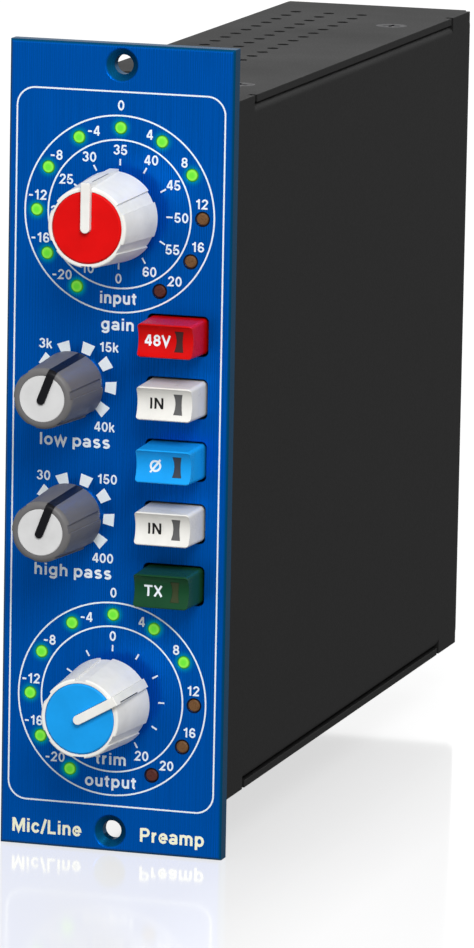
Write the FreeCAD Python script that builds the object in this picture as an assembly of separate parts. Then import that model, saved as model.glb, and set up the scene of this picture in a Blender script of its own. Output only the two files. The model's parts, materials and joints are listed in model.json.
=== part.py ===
import FreeCAD, Part
import math
import os

# A single-width rack microphone preamp module.
# Millimetres. +X is to the right seen from the front, +Y runs back into the case, +Z is up.
# The origin is the centre of the front panel's back face, midway between the two rack screws.

os.makedirs("parts", exist_ok=True)

# ------------------------------------------------------------------ driving dimensions
# Front panel
PANEL_WIDTH = 38.1
PANEL_HEIGHT = 133.35
PANEL_THICKNESS = 3.0
PANEL_BEVEL = 0.5
SCREW_EDGE_INSET = 3.375
SCREW_HOLE_RADIUS = 1.6
SCREW_SINK_RADIUS = 2.83

# Sheet-metal case, flush with the panel's right edge
CASE_DEPTH = 142.9
CASE_LEFT_SETBACK = 2.62
CASE_TOP_SETBACK = 8.58
CASE_BOTTOM_SETBACK = 9.66
SHEET = 1.2
BEND_RADIUS = 1.6
FRONT_TAB = 8.6
REAR_TAB = 12.9
RELIEF_WIDTH = 1.2
RELIEF_DEPTH = 1.7
FLANGE_WIDTH = 12.0
FIT_GAP = 0.3

# Vent holes in the top and bottom plates
VENT_RADIUS = 1.0
VENT_PITCH = 6.1
VENT_ROWS = 3
VENT_REAR_INSET = 15.9
VENT_LEFT_INSET = 7.2
VENT_FRONT_INSET = 20.0

# Countersunk cover screws
COVER_SCREW_INSET = 6.75
COVER_SCREW_FRONT = 21.5
COVER_SCREW_REAR_INSET = 29.3
COVER_SCREW_HEAD = 2.75
COVER_SCREW_THREAD = 1.5
COVER_SCREW_LENGTH = 6.0
COVER_SCREW_CROSS = 3.0
COVER_SCREW_BLADE = 0.56
COVER_SCREW_RECESS = 0.8

# Studs that hold the case on the panel
STUD_RADIUS = 1.25
STUD_HEAD_RADIUS = 2.1
STUD_HEAD_THICKNESS = 1.2
STUD_LENGTH = 6.0
STUD_SIDE_INSET = 2.93
STUD_PLATE_INSET = 2.65
EAR_INNER_X = 9.0
EAR_HEIGHT = 5.6
NUT_FLATS = 5.0
NUT_THICKNESS = 2.0

# Circuit boards
BOARD_THICKNESS = 1.6
CONTROL_BOARD_Y = 13.0
CONTROL_BOARD_MARGIN = 0.8
STANDOFF_LENGTH = 3.6
STANDOFF_RADIUS = 2.6
BOARD_SCREW_RADIUS = 1.25
BOARD_SCREW_HEAD = 2.6
BOARD_SCREW_HEIGHT = 1.9
BOARD_SCREW_SLOT_DEPTH = 0.8
BOARD_SCREW_SLOT_WIDTH = 0.7
BOARD_HOLE_INSET_Y = 8.0
BOARD_HOLE_INSET_Z = 6.5
MAIN_BOARD_FRONT = 17.0
MAIN_BOARD_MARGIN = 1.5
TONGUE_HEIGHT = 62.0
TONGUE_LENGTH = 8.5
TONGUE_SLOT_GAP = 3.0
CONTACT_COUNT = 15
CONTACT_PITCH = 3.96
CONTACT_WIDTH = 2.5
CONTACT_LENGTH = 7.0
CONTACT_THICKNESS = 0.1
SOCKET_DEPTH = 8.5
SOCKET_THICKNESS = 5.0
SOCKET_HALF_HEIGHT = 22.0
HEADER_DEPTH = 6.0

# Components on the main board; block sizes are height, length and width
COMPONENT_FRONT_Y = 40.0
TRANSFORMER_RADIUS = 11.0
TRANSFORMER_HEIGHT = 23.0
TRANSFORMER_REAR_INSET = 28.0
TRANSFORMER_RIM = 0.8
TRANSFORMER_ROUND = 1.2
RELAY_SIZE = (10.0, 15.0, 7.5)
RELAY_PITCH = 12.5
RELAY_COUNT = 4
RELAY_EDGE = 0.4
CAPACITOR_RADIUS = 4.0
CAPACITOR_HEIGHT = 11.5
CAPACITOR_PITCH = 10.5
CAPACITOR_COLUMNS = 2
CAPACITOR_ROWS = 4
CAPACITOR_GROOVE_START = 1.4
CAPACITOR_GROOVE_END = 2.0
CAPACITOR_GROOVE_DEPTH = 0.3
CHIP_SIZE = (3.4, 9.8, 6.4)
CHIP_PITCH = 11.5
CHIP_COUNT = 6
CHIP_EDGE_INSET = 9.0
CHIP_NOTCH_RADIUS = 0.9
CHIP_NOTCH_DEPTH = 0.5
FILM_SIZE = (7.5, 7.2, 3.0)
FILM_PITCH = 6.5
FILM_COUNT = 6

# Ring meters: eleven lamps round each large knob
LAMP_COUNT = 11
LAMP_STEP = 30.0
LAMP_RADIUS = 1.0
LAMP_HOLE_GAP = 0.1
LAMP_DOME = 0.2
LAMP_TAIL = 1.5
SPACER_RADIUS = 1.05
SPACER_WALL_GAP = 0.09
UPPER_RING_GAP = 3.78
LOWER_RING_GAP = 0.62

# Large knobs
KNOB_PANEL_GAP = 3.13
BIG_KNOB_REACH = 17.06
BIG_KNOB_BASE = 7.48
BIG_KNOB_FRONT = 6.54
BIG_KNOB_RIM_ROUND = 0.35
BIG_CAP_RADIUS = 5.82
BIG_CAP_THICKNESS = 1.46
BIG_CAP_PROUD = 0.15
BIG_CAP_GAP = 0.05
BIG_CAP_EDGE = 0.25
BIG_BAR_WIDTH = 1.54
BIG_BAR_BASE = 7.84
BIG_BAR_FRONT = 7.3
BIG_BAR_PROUD = 1.1
BIG_BAR_EDGE = 0.12
GRIP_DEPTH = 0.3
GRIP_ANGLE = 16.0
GRIP_TURNS = (60, 120, 180, 240, 300)
TRIM_REST_ANGLE = 60.3

# Small knobs
SMALL_KNOB_REACH = 17.4
SMALL_KNOB_BASE = 5.7
SMALL_KNOB_FRONT = 4.95
SMALL_KNOB_SHOULDER = 0.9
SMALL_KNOB_SHAFT_INSET = 5.5
SMALL_GRIP_DEPTH = 0.25
SMALL_CAP_RADIUS = 3.84
SMALL_CAP_THICKNESS = 1.2
SMALL_CAP_EDGE = 0.12
SMALL_BAR_WIDTH = 1.35
SMALL_BAR_DEPTH = 0.4
SMALL_BAR_PROUD = 0.3
SMALL_BAR_PAST_AXIS = 0.25
FILTER_REST_ANGLE = 21.0
FILTER_INSET = 12.01
FILTER_SPACING = 21.8

# Spindles and their bushings
SHAFT_RADIUS = 3.0
SHAFT_GAP = 0.05
SHAFT_TAIL = 8.0
BUSHING_WALL = 0.45
BUSHING_HOLE_GAP = 0.1
BUSHING_REACH = 5.7
WASHER_THICKNESS = 0.4
WASHER_RIM = 1.1
BUSHING_NUT_WALL = 0.6
BUSHING_NUT_THICKNESS = 1.9
COLLET_RADIUS = 4.5
COLLET_FACE_INSET = 5.5
COLLET_BACK_INSET = 0.4
COLLET_SLIT = 0.8
COLLET_NUT_FLATS = 7.8
COLLET_NUT_THICKNESS = 2.4
COLLET_NUT_ROOM = 0.5
SHAFT_SLOT_WIDTH = 0.8
SHAFT_SLOT_DEPTH = 1.2
CONTROL_FRONT_GAP = 1.6
SWITCH_RADIUS = 8.5
SWITCH_EDGE = 0.6
POT_RADIUS = 8.0
POT_FOOT_WIDTH = 12.0
POT_FOOT_DEPTH = 3.0
POT_FOOT_REACH = 2.0
FILTER_POT_WIDTH = 9.8
FILTER_POT_CORNER = 0.5

# Push buttons
BUTTON_COUNT = 5
BUTTON_PITCH = 10.27
BUTTON_STACK_Z = -0.69
BUTTON_INSET = 8.8
BUTTON_WIDTH = 9.76
BUTTON_HEIGHT = 6.0
BUTTON_TAPER = 0.27
BUTTON_REACH = 7.5
BUTTON_SKIRT = 1.0
BUTTON_WALL = 0.9
BUTTON_CORNER = 0.6
BUTTON_EDGE = 0.35
BUTTON_TRAVEL = 2.5
BUTTON_GAP_X = 0.34
BUTTON_GAP_Z = 0.3
BUTTON_ROOF = 1.8
BUTTON_SOCKET_WALL = 0.45
BUTTON_SOCKET_INSET = 2.0
SCOOP_DEPTH = 1.1
SCOOP_MARGIN = 0.16
LENS_WIDTH = 1.55
LENS_WAIST = 1.05
LENS_HEIGHT = 3.4
LENS_OFFSET = 2.3
LENS_TAIL = 1.5
LENS_SINK = 0.08
STEM_WIDTH = 2.4
STEM_GAP = 0.1
STEM_FACE_INSET = 4.0
STEM_TAIL_GAP = 1.2
PUSH_SWITCH_FRONT = 5.5
PUSH_SWITCH_WIDTH = 8.0
PUSH_SWITCH_HEIGHT = 7.2
PUSH_SWITCH_FLOOR = 0.7
PUSH_SWITCH_CORNER = 0.4

# ------------------------------------------------------------------ places that follow
PANEL_FRONT = -PANEL_THICKNESS
RIGHT = PANEL_WIDTH / 2
LEFT = CASE_LEFT_SETBACK - PANEL_WIDTH / 2
TOP = PANEL_HEIGHT / 2 - CASE_TOP_SETBACK
BOTTOM = CASE_BOTTOM_SETBACK - PANEL_HEIGHT / 2
INNER_LEFT = LEFT + SHEET
INNER_RIGHT = RIGHT - SHEET
INNER_TOP = TOP - SHEET
INNER_BOTTOM = BOTTOM + SHEET
SCREW_Z = PANEL_HEIGHT / 2 - SCREW_EDGE_INSET
STUD_X = -INNER_LEFT - STUD_SIDE_INSET
FLANGE_FRONT = FRONT_TAB + RELIEF_WIDTH
FLANGE_REAR = CASE_DEPTH - REAR_TAB - RELIEF_WIDTH

LAMP_RING_RADIUS = -INNER_LEFT - SPACER_WALL_GAP - SPACER_RADIUS
UPPER_RING_Z = INNER_TOP - UPPER_RING_GAP - LAMP_RING_RADIUS
LOWER_RING_Z = INNER_BOTTOM + LOWER_RING_GAP + LAMP_RING_RADIUS
FILTER_X = FILTER_INSET - PANEL_WIDTH / 2
LOW_PASS_Z = FILTER_SPACING / 2
HIGH_PASS_Z = -FILTER_SPACING / 2
BUTTON_X = RIGHT - BUTTON_INSET

BUSHING_RADIUS = SHAFT_RADIUS + SHAFT_GAP + BUSHING_WALL
BUSHING_HOLE = BUSHING_RADIUS + BUSHING_HOLE_GAP
MAIN_BOARD_X = INNER_LEFT + STANDOFF_LENGTH
COMPONENT_X = MAIN_BOARD_X + BOARD_THICKNESS
MAIN_BOARD_REAR = CASE_DEPTH - SHEET - MAIN_BOARD_MARGIN
MAIN_BOARD_TOP = INNER_TOP - MAIN_BOARD_MARGIN
MAIN_BOARD_BOTTOM = INNER_BOTTOM + MAIN_BOARD_MARGIN
CONTROL_BOARD_BACK = CONTROL_BOARD_Y + BOARD_THICKNESS

KNOB_BACK = PANEL_FRONT - KNOB_PANEL_GAP
BIG_FACE = PANEL_FRONT - BIG_KNOB_REACH
SMALL_FACE = PANEL_FRONT - SMALL_KNOB_REACH
CAP_SEAT = BIG_FACE + BIG_CAP_THICKNESS
COLLET_FRONT = BIG_FACE + COLLET_FACE_INSET
COLLET_BACK = KNOB_BACK - COLLET_BACK_INSET
SMALL_SHAFT_FRONT = SMALL_FACE + SMALL_KNOB_SHAFT_INSET
BUTTON_FACE = PANEL_FRONT - BUTTON_REACH
STEM_FRONT = BUTTON_FACE + STEM_FACE_INSET
BUTTON_CAVITY_FRONT = BUTTON_FACE + SCOOP_DEPTH + BUTTON_ROOF

X_AXIS = FreeCAD.Vector(1, 0, 0)
Y_AXIS = FreeCAD.Vector(0, 1, 0)
Z_AXIS = FreeCAD.Vector(0, 0, 1)
ORIGIN = FreeCAD.Vector(0, 0, 0)


# ------------------------------------------------------------------ shape helpers
def point(x, y, z):
    return FreeCAD.Vector(x, y, z)


def box(x0, x1, y0, y1, z0, z1):
    """A block between two corners."""
    return Part.makeBox(x1 - x0, y1 - y0, z1 - z0, point(x0, y0, z0))


def rod(radius, y0, y1, x=0.0, z=0.0):
    """A cylinder along Y."""
    return Part.makeCylinder(radius, y1 - y0, point(x, y0, z), Y_AXIS)


def cone(radius0, radius1, y0, y1, x=0.0, z=0.0):
    """A cone along Y with radius0 at y0 and radius1 at y1."""
    return Part.makeCone(radius0, radius1, y1 - y0, point(x, y0, z), Y_AXIS)


def tube(outer, inner, y0, y1, x=0.0, z=0.0):
    return rod(outer, y0, y1, x, z).cut(rod(inner, y0, y1, x, z))


def post(radius, z0, z1, x, y):
    """A cylinder along Z."""
    return Part.makeCylinder(radius, z1 - z0, point(x, y, z0), Z_AXIS)


def peg(radius, x0, x1, y, z):
    """A cylinder along X."""
    return Part.makeCylinder(radius, x1 - x0, point(x0, y, z), X_AXIS)


def hex_prism(flats, y0, y1, x=0.0, z=0.0):
    """A hexagonal bar along Y, measured across its flats, with flats above and below."""
    corner = flats / math.sqrt(3)
    turns = [math.radians(60 * i + 30) for i in range(7)]
    loop = [point(x + corner * math.sin(a), y0, z + corner * math.cos(a)) for a in turns]
    return Part.Face(Part.makePolygon(loop)).extrude(point(0, y1 - y0, 0))


def rounded_rectangle(half_x, half_z, corner, y, x=0.0, z=0.0):
    """A closed wire in a plane of constant Y, with round corners."""
    edges = []
    diagonal = corner * math.sqrt(0.5)
    signs = [(1, 1), (-1, 1), (-1, -1), (1, -1)]
    for i, (sx, sz) in enumerate(signs):
        cx = x + sx * (half_x - corner)
        cz = z + sz * (half_z - corner)
        along_x = point(cx + sx * corner, y, cz)
        along_z = point(cx, y, cz + sz * corner)
        middle = point(cx + sx * diagonal, y, cz + sz * diagonal)
        start, end = (along_x, along_z) if sx * sz > 0 else (along_z, along_x)
        edges.append(Part.Arc(start, middle, end).toShape())
        next_x, next_z = signs[(i + 1) % 4]
        other = point(x + next_x * (half_x - corner), y, z + next_z * (half_z - corner))
        if sx * sz > 0:
            other.z += next_z * corner
        else:
            other.x += next_x * corner
        edges.append(Part.LineSegment(end, other).toShape())
    return Part.Wire(edges)


def rounded_bar(half_x, half_z, corner, y0, y1, x=0.0, z=0.0):
    wire = rounded_rectangle(half_x, half_z, corner, y0, x, z)
    return Part.Face(wire).extrude(point(0, y1 - y0, 0))


def edges_where(shape, test):
    """The shape's edges whose middle point passes a test."""
    return [edge for edge in shape.Edges if test(edge.CenterOfMass)]


def near(value, target):
    return abs(value - target) < 1e-4


def fuse_all(shapes):
    return shapes[0].multiFuse(shapes[1:]).removeSplitter()


def turned(shape, degrees, x=0.0, z=0.0):
    """A copy turned clockwise seen from the front, then carried to (x, z)."""
    copy = shape.copy()
    copy.rotate(ORIGIN, Y_AXIS, degrees)
    copy.translate(point(x, 0, z))
    return copy


def carried(shape, x, y, z):
    copy = shape.copy()
    copy.translate(point(x, y, z))
    return copy


def save(name, shape):
    """One node: a single solid, or a group of separate solids."""
    if isinstance(shape, list):
        shape = Part.makeCompound(shape)
    elif len(shape.Solids) == 1:
        shape = shape.Solids[0]
    shape.exportStep("parts/" + name + ".step")


# ------------------------------------------------------------------ shared places
def lamp_places(ring_z, first, last):
    """Lamp centres round one ring, numbered clockwise from the lowest on the left."""
    places = []
    for i in range(first, last):
        angle = math.radians((i - (LAMP_COUNT - 1) / 2) * LAMP_STEP)
        x = LAMP_RING_RADIUS * math.sin(angle)
        z = ring_z + LAMP_RING_RADIUS * math.cos(angle)
        places.append((x, z))
    return places


def all_lamp_places(first=0, last=LAMP_COUNT):
    return lamp_places(UPPER_RING_Z, first, last) + lamp_places(LOWER_RING_Z, first, last)


def button_heights():
    middle = (BUTTON_COUNT - 1) / 2
    return [BUTTON_STACK_Z + (middle - i) * BUTTON_PITCH for i in range(BUTTON_COUNT)]


def stud_places():
    upper = INNER_TOP - STUD_PLATE_INSET
    lower = INNER_BOTTOM + STUD_PLATE_INSET
    return [(x, z) for z in (upper, lower) for x in (-STUD_X, STUD_X)]


def vent_places():
    """Plan positions of the vent holes, from the rear forward."""
    count = int((CASE_DEPTH - VENT_REAR_INSET - VENT_FRONT_INSET) / VENT_PITCH) + 1
    rows = [LEFT + VENT_LEFT_INSET + row * VENT_PITCH for row in range(VENT_ROWS)]
    steps = [CASE_DEPTH - VENT_REAR_INSET - step * VENT_PITCH for step in range(count)]
    return [(x, y) for x in rows for y in steps]


def cover_screw_places():
    x = RIGHT - COVER_SCREW_INSET
    return [(x, COVER_SCREW_FRONT), (x, CASE_DEPTH - COVER_SCREW_REAR_INSET)]


def board_hole_places():
    front = MAIN_BOARD_FRONT + BOARD_HOLE_INSET_Y
    rear = MAIN_BOARD_REAR - BOARD_HOLE_INSET_Y
    low = MAIN_BOARD_BOTTOM + BOARD_HOLE_INSET_Z
    high = MAIN_BOARD_TOP - BOARD_HOLE_INSET_Z
    return [(y, z) for y in (front, rear) for z in (low, high)]


# ------------------------------------------------------------------ front panel
def front_panel():
    half_height = PANEL_HEIGHT / 2
    plate = box(-RIGHT, RIGHT, PANEL_FRONT, 0, -half_height, half_height)
    front_edges = edges_where(plate, lambda c: near(c.y, PANEL_FRONT))
    plate = plate.makeChamfer(PANEL_BEVEL, front_edges)
    cuts = []
    for z in (SCREW_Z, -SCREW_Z):
        sink_depth = SCREW_SINK_RADIUS - SCREW_HOLE_RADIUS
        cuts.append(rod(SCREW_HOLE_RADIUS, PANEL_FRONT - 1, 1, 0, z))
        cuts.append(cone(SCREW_SINK_RADIUS, SCREW_HOLE_RADIUS, PANEL_FRONT, PANEL_FRONT + sink_depth, 0, z))
    for x, z in all_lamp_places():
        cuts.append(rod(LAMP_RADIUS + LAMP_HOLE_GAP, PANEL_FRONT - 1, 1, x, z))
    for x, z in control_places():
        cuts.append(rod(BUSHING_HOLE, PANEL_FRONT - 1, 1, x, z))
    for z in button_heights():
        half_x = BUTTON_WIDTH / 2 + BUTTON_GAP_X
        half_z = BUTTON_HEIGHT / 2 + BUTTON_GAP_Z
        corner = BUTTON_CORNER + BUTTON_GAP_Z
        cuts.append(rounded_bar(half_x, half_z, corner, PANEL_FRONT - 1, 1, BUTTON_X, z))
    for x, z in stud_places():
        cuts.append(rod(STUD_HEAD_RADIUS, -STUD_HEAD_THICKNESS, 1, x, z))
    return plate.cut(Part.makeCompound(cuts))


def control_places():
    return [(0, UPPER_RING_Z), (0, LOWER_RING_Z), (FILTER_X, LOW_PASS_Z), (FILTER_X, HIGH_PASS_Z)]


def panel_studs():
    studs = []
    for x, z in stud_places():
        head = rod(STUD_HEAD_RADIUS, -STUD_HEAD_THICKNESS, 0, x, z)
        studs.append(head.fuse(rod(STUD_RADIUS, 0, STUD_LENGTH, x, z)).removeSplitter())
    return studs


def panel_nuts():
    nuts = []
    for x, z in stud_places():
        blank = hex_prism(NUT_FLATS, SHEET, SHEET + NUT_THICKNESS, x, z)
        nuts.append(blank.cut(rod(STUD_RADIUS, SHEET, SHEET + NUT_THICKNESS, x, z)))
    return nuts


# ------------------------------------------------------------------ case
def chassis_wrap():
    """Left wall, top plate and bottom plate folded from one sheet, with four front ears."""
    outer = box(LEFT, RIGHT, 0, CASE_DEPTH, BOTTOM, TOP)
    folds = edges_where(outer, lambda c: near(c.x, LEFT) and near(c.y, CASE_DEPTH / 2))
    outer = outer.makeFillet(BEND_RADIUS, folds)
    inner = box(INNER_LEFT, RIGHT + 1, -1, CASE_DEPTH + 1, INNER_BOTTOM, INNER_TOP)
    inner_folds = edges_where(inner, lambda c: near(c.x, INNER_LEFT) and near(c.y, CASE_DEPTH / 2))
    inner = inner.makeFillet(BEND_RADIUS - SHEET, inner_folds)
    shell = outer.cut(inner)
    ears = []
    for x, z in stud_places():
        x0 = EAR_INNER_X if x > 0 else INNER_LEFT + FIT_GAP
        x1 = INNER_RIGHT - FIT_GAP if x > 0 else -EAR_INNER_X
        if z > 0:
            ears.append(box(x0, x1, 0, SHEET, INNER_TOP - EAR_HEIGHT, INNER_TOP))
        else:
            ears.append(box(x0, x1, 0, SHEET, INNER_BOTTOM, INNER_BOTTOM + EAR_HEIGHT))
    shell = fuse_all([shell] + ears)
    cuts = []
    for y0, y1 in ((-1, FLANGE_FRONT), (FLANGE_REAR, CASE_DEPTH + 1)):
        cuts.append(box(INNER_RIGHT, RIGHT + 1, y0, y1, BOTTOM - 1, TOP + 1))
    for x, z in stud_places():
        cuts.append(rod(STUD_RADIUS + FIT_GAP, -1, SHEET + 1, x, z))
    for x, y in vent_places():
        cuts.append(post(VENT_RADIUS, TOP - SHEET - 1, TOP + 1, x, y))
        cuts.append(post(VENT_RADIUS, BOTTOM - 1, BOTTOM + SHEET + 1, x, y))
    for x, y in cover_screw_places():
        cuts.append(cover_screw_blank(x, y, 1))
        cuts.append(cover_screw_blank(x, y, -1))
    return shell.cut(Part.makeCompound(cuts))


def side_cover():
    """Right wall with flanges under the top and bottom plates and a folded rear wall."""
    outer = box(INNER_LEFT + FIT_GAP, RIGHT, 0, CASE_DEPTH, INNER_BOTTOM, INNER_TOP)
    folds = edges_where(outer, lambda c: near(c.x, RIGHT) and not near(c.y, 0))
    outer = outer.makeFillet(BEND_RADIUS, folds)
    hollow = box(LEFT - 1, INNER_RIGHT, -1, CASE_DEPTH - SHEET, INNER_BOTTOM + SHEET, INNER_TOP - SHEET)
    pan = outer.cut(hollow)
    cuts = []
    for z0, z1 in ((INNER_TOP - SHEET, TOP), (BOTTOM, INNER_BOTTOM + SHEET)):
        cuts.append(box(LEFT - 1, RIGHT - FLANGE_WIDTH, -1, CASE_DEPTH - SHEET, z0, z1))
        cuts.append(box(LEFT - 1, INNER_RIGHT, -1, FLANGE_FRONT, z0, z1))
        cuts.append(box(LEFT - 1, INNER_RIGHT, FLANGE_REAR, CASE_DEPTH - SHEET, z0, z1))
    pan = pan.cut(Part.makeCompound(cuts))
    tabs = []
    for y0, y1 in ((0, FRONT_TAB), (CASE_DEPTH - REAR_TAB, CASE_DEPTH - BEND_RADIUS)):
        tabs.append(box(INNER_RIGHT, RIGHT, y0, y1, BOTTOM, TOP))
    pan = fuse_all([pan] + tabs)
    cuts = []
    for y0, y1 in ((FRONT_TAB, FLANGE_FRONT), (FLANGE_REAR, CASE_DEPTH - REAR_TAB)):
        cuts.append(box(INNER_RIGHT - FIT_GAP, RIGHT + 1, y0, y1, TOP - RELIEF_DEPTH, TOP + 1))
        cuts.append(box(INNER_RIGHT - FIT_GAP, RIGHT + 1, y0, y1, BOTTOM - 1, BOTTOM + RELIEF_DEPTH))
    slot_x0 = MAIN_BOARD_X - TONGUE_SLOT_GAP
    slot_x1 = COMPONENT_X + TONGUE_SLOT_GAP
    slot_z = TONGUE_HEIGHT / 2 + TONGUE_SLOT_GAP
    cuts.append(box(slot_x0, slot_x1, CASE_DEPTH - SHEET - 1, CASE_DEPTH + 1, -slot_z, slot_z))
    for x, y in cover_screw_places():
        cuts.append(post(COVER_SCREW_THREAD, INNER_TOP - SHEET, INNER_TOP, x, y))
        cuts.append(post(COVER_SCREW_THREAD, INNER_BOTTOM, INNER_BOTTOM + SHEET, x, y))
    return pan.cut(Part.makeCompound(cuts))


def cover_screw_blank(x, y, side):
    """A countersunk screw standing in the top plate (side 1) or the bottom plate (side -1)."""
    face = TOP if side > 0 else BOTTOM
    down = point(0, 0, -side)
    head = Part.makeCone(COVER_SCREW_HEAD, COVER_SCREW_THREAD, SHEET, point(x, y, face), down)
    thread = Part.makeCylinder(COVER_SCREW_THREAD, COVER_SCREW_LENGTH, point(x, y, face), down)
    return head.fuse(thread).removeSplitter()


def cover_screws():
    """Cross-recessed countersunk screws."""
    arm = COVER_SCREW_CROSS / 2
    blade = COVER_SCREW_BLADE / 2
    screws = []
    for x, y in cover_screw_places():
        for side in (1, -1):
            z0 = TOP - COVER_SCREW_RECESS if side > 0 else BOTTOM
            z1 = z0 + COVER_SCREW_RECESS
            long_way = box(x - arm, x + arm, y - blade, y + blade, z0, z1)
            cross_way = box(x - blade, x + blade, y - arm, y + arm, z0, z1)
            screws.append(cover_screw_blank(x, y, side).cut(long_way.fuse(cross_way)))
    return screws


# ------------------------------------------------------------------ circuit boards
def main_board():
    board = box(MAIN_BOARD_X, COMPONENT_X, MAIN_BOARD_FRONT, MAIN_BOARD_REAR,
                MAIN_BOARD_BOTTOM, MAIN_BOARD_TOP)
    half = TONGUE_HEIGHT / 2
    tongue = box(MAIN_BOARD_X, COMPONENT_X, MAIN_BOARD_REAR, CASE_DEPTH + TONGUE_LENGTH, -half, half)
    lead_in = BOARD_THICKNESS / 3
    tip_edges = edges_where(tongue, lambda c: near(c.y, CASE_DEPTH + TONGUE_LENGTH) and near(c.z, 0))
    tongue = tongue.makeChamfer(lead_in, tip_edges)
    board = fuse_all([board, tongue])
    holes = [peg(BOARD_SCREW_RADIUS + FIT_GAP, MAIN_BOARD_X - 1, COMPONENT_X + 1, y, z)
             for y, z in board_hole_places()]
    return board.cut(Part.makeCompound(holes))


def edge_contacts():
    """Gold fingers on both faces of the rear tongue."""
    fingers = []
    y1 = CASE_DEPTH + TONGUE_LENGTH - BOARD_THICKNESS / 3 - FIT_GAP
    y0 = y1 - CONTACT_LENGTH
    for i in range(CONTACT_COUNT):
        z = (i - (CONTACT_COUNT - 1) / 2) * CONTACT_PITCH
        z0 = z - CONTACT_WIDTH / 2
        z1 = z + CONTACT_WIDTH / 2
        fingers.append(box(MAIN_BOARD_X - CONTACT_THICKNESS, MAIN_BOARD_X, y0, y1, z0, z1))
        fingers.append(box(COMPONENT_X, COMPONENT_X + CONTACT_THICKNESS, y0, y1, z0, z1))
    return fingers


def board_standoffs():
    posts = []
    for y, z in board_hole_places():
        sleeve = peg(STANDOFF_RADIUS, INNER_LEFT, MAIN_BOARD_X, y, z)
        posts.append(sleeve.cut(peg(BOARD_SCREW_RADIUS, INNER_LEFT, MAIN_BOARD_X, y, z)))
    return posts


def board_screws():
    """Pan-head screws through the main board into the standoffs."""
    slot_half = BOARD_SCREW_SLOT_WIDTH / 2
    top = COMPONENT_X + BOARD_SCREW_HEIGHT
    screws = []
    for y, z in board_hole_places():
        head = peg(BOARD_SCREW_HEAD, COMPONENT_X, top, y, z)
        shank = peg(BOARD_SCREW_RADIUS, INNER_LEFT + FIT_GAP, COMPONENT_X, y, z)
        slot = box(top - BOARD_SCREW_SLOT_DEPTH, top, y - BOARD_SCREW_HEAD, y + BOARD_SCREW_HEAD,
                   z - slot_half, z + slot_half)
        screws.append(head.fuse(shank).removeSplitter().cut(slot))
    return screws


def control_board():
    """The upright board behind the panel that carries lamps, switches and potentiometers."""
    x0 = INNER_LEFT + CONTROL_BOARD_MARGIN
    x1 = INNER_RIGHT - CONTROL_BOARD_MARGIN
    z0 = INNER_BOTTOM + SHEET + CONTROL_BOARD_MARGIN
    z1 = INNER_TOP - SHEET - CONTROL_BOARD_MARGIN
    return box(x0, x1, CONTROL_BOARD_Y, CONTROL_BOARD_BACK, z0, z1)


def board_socket():
    """Socket strip on the back of the control board."""
    y1 = CONTROL_BOARD_BACK + SOCKET_DEPTH
    x0 = COMPONENT_X + FIT_GAP
    return box(x0, x0 + SOCKET_THICKNESS, CONTROL_BOARD_BACK, y1, -SOCKET_HALF_HEIGHT, SOCKET_HALF_HEIGHT)


def board_header():
    """Right-angle pin header on the main board, butted against the socket strip."""
    y0 = CONTROL_BOARD_BACK + SOCKET_DEPTH
    x1 = COMPONENT_X + FIT_GAP + SOCKET_THICKNESS
    return box(COMPONENT_X, x1, y0, y0 + HEADER_DEPTH, -SOCKET_HALF_HEIGHT, SOCKET_HALF_HEIGHT)


# ------------------------------------------------------------------ parts on the main board
def seated_block(size, y, z):
    """A rectangular component standing on the main board, centred on (y, z)."""
    height, length, width = size
    return box(COMPONENT_X, COMPONENT_X + height, y - length / 2, y + length / 2,
               z - width / 2, z + width / 2)


def input_transformer():
    """Screened audio transformer: a round can with a rolled rim at its base."""
    y = MAIN_BOARD_REAR - TRANSFORMER_REAR_INSET
    z = MAIN_BOARD_BOTTOM + TRANSFORMER_REAR_INSET
    top = COMPONENT_X + TRANSFORMER_HEIGHT
    can = peg(TRANSFORMER_RADIUS, COMPONENT_X, top, y, z)
    can = can.makeFillet(TRANSFORMER_ROUND, edges_where(can, lambda c: near(c.x, top)))
    rim = peg(TRANSFORMER_RADIUS + TRANSFORMER_RIM, COMPONENT_X, COMPONENT_X + TRANSFORMER_RIM, y, z)
    return fuse_all([can, rim])


def relays():
    """Sealed relays in a column, with softened top edges."""
    top = COMPONENT_X + RELAY_SIZE[0]
    y = COMPONENT_FRONT_Y + RELAY_SIZE[1] / 2
    middle = (RELAY_COUNT - 1) / 2
    blocks = [seated_block(RELAY_SIZE, y, (i - middle) * RELAY_PITCH) for i in range(RELAY_COUNT)]
    return [block.makeFillet(RELAY_EDGE, edges_where(block, lambda c: near(c.x, top))) for block in blocks]


def electrolytic_capacitors():
    """Columns of upright cans with a rolled groove near the base."""
    cans = []
    low = COMPONENT_X + CAPACITOR_GROOVE_START
    high = COMPONENT_X + CAPACITOR_GROOVE_END
    for column in range(CAPACITOR_COLUMNS):
        for row in range(CAPACITOR_ROWS):
            y = COMPONENT_FRONT_Y + RELAY_SIZE[1] + (column + 1) * CAPACITOR_PITCH
            z = MAIN_BOARD_TOP - BOARD_HOLE_INSET_Z - (row + 1) * CAPACITOR_PITCH
            can = peg(CAPACITOR_RADIUS, COMPONENT_X, COMPONENT_X + CAPACITOR_HEIGHT, y, z)
            groove = peg(CAPACITOR_RADIUS, low, high, y, z)
            groove = groove.cut(peg(CAPACITOR_RADIUS - CAPACITOR_GROOVE_DEPTH, low, high, y, z))
            cans.append(can.cut(groove))
    return cans


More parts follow.
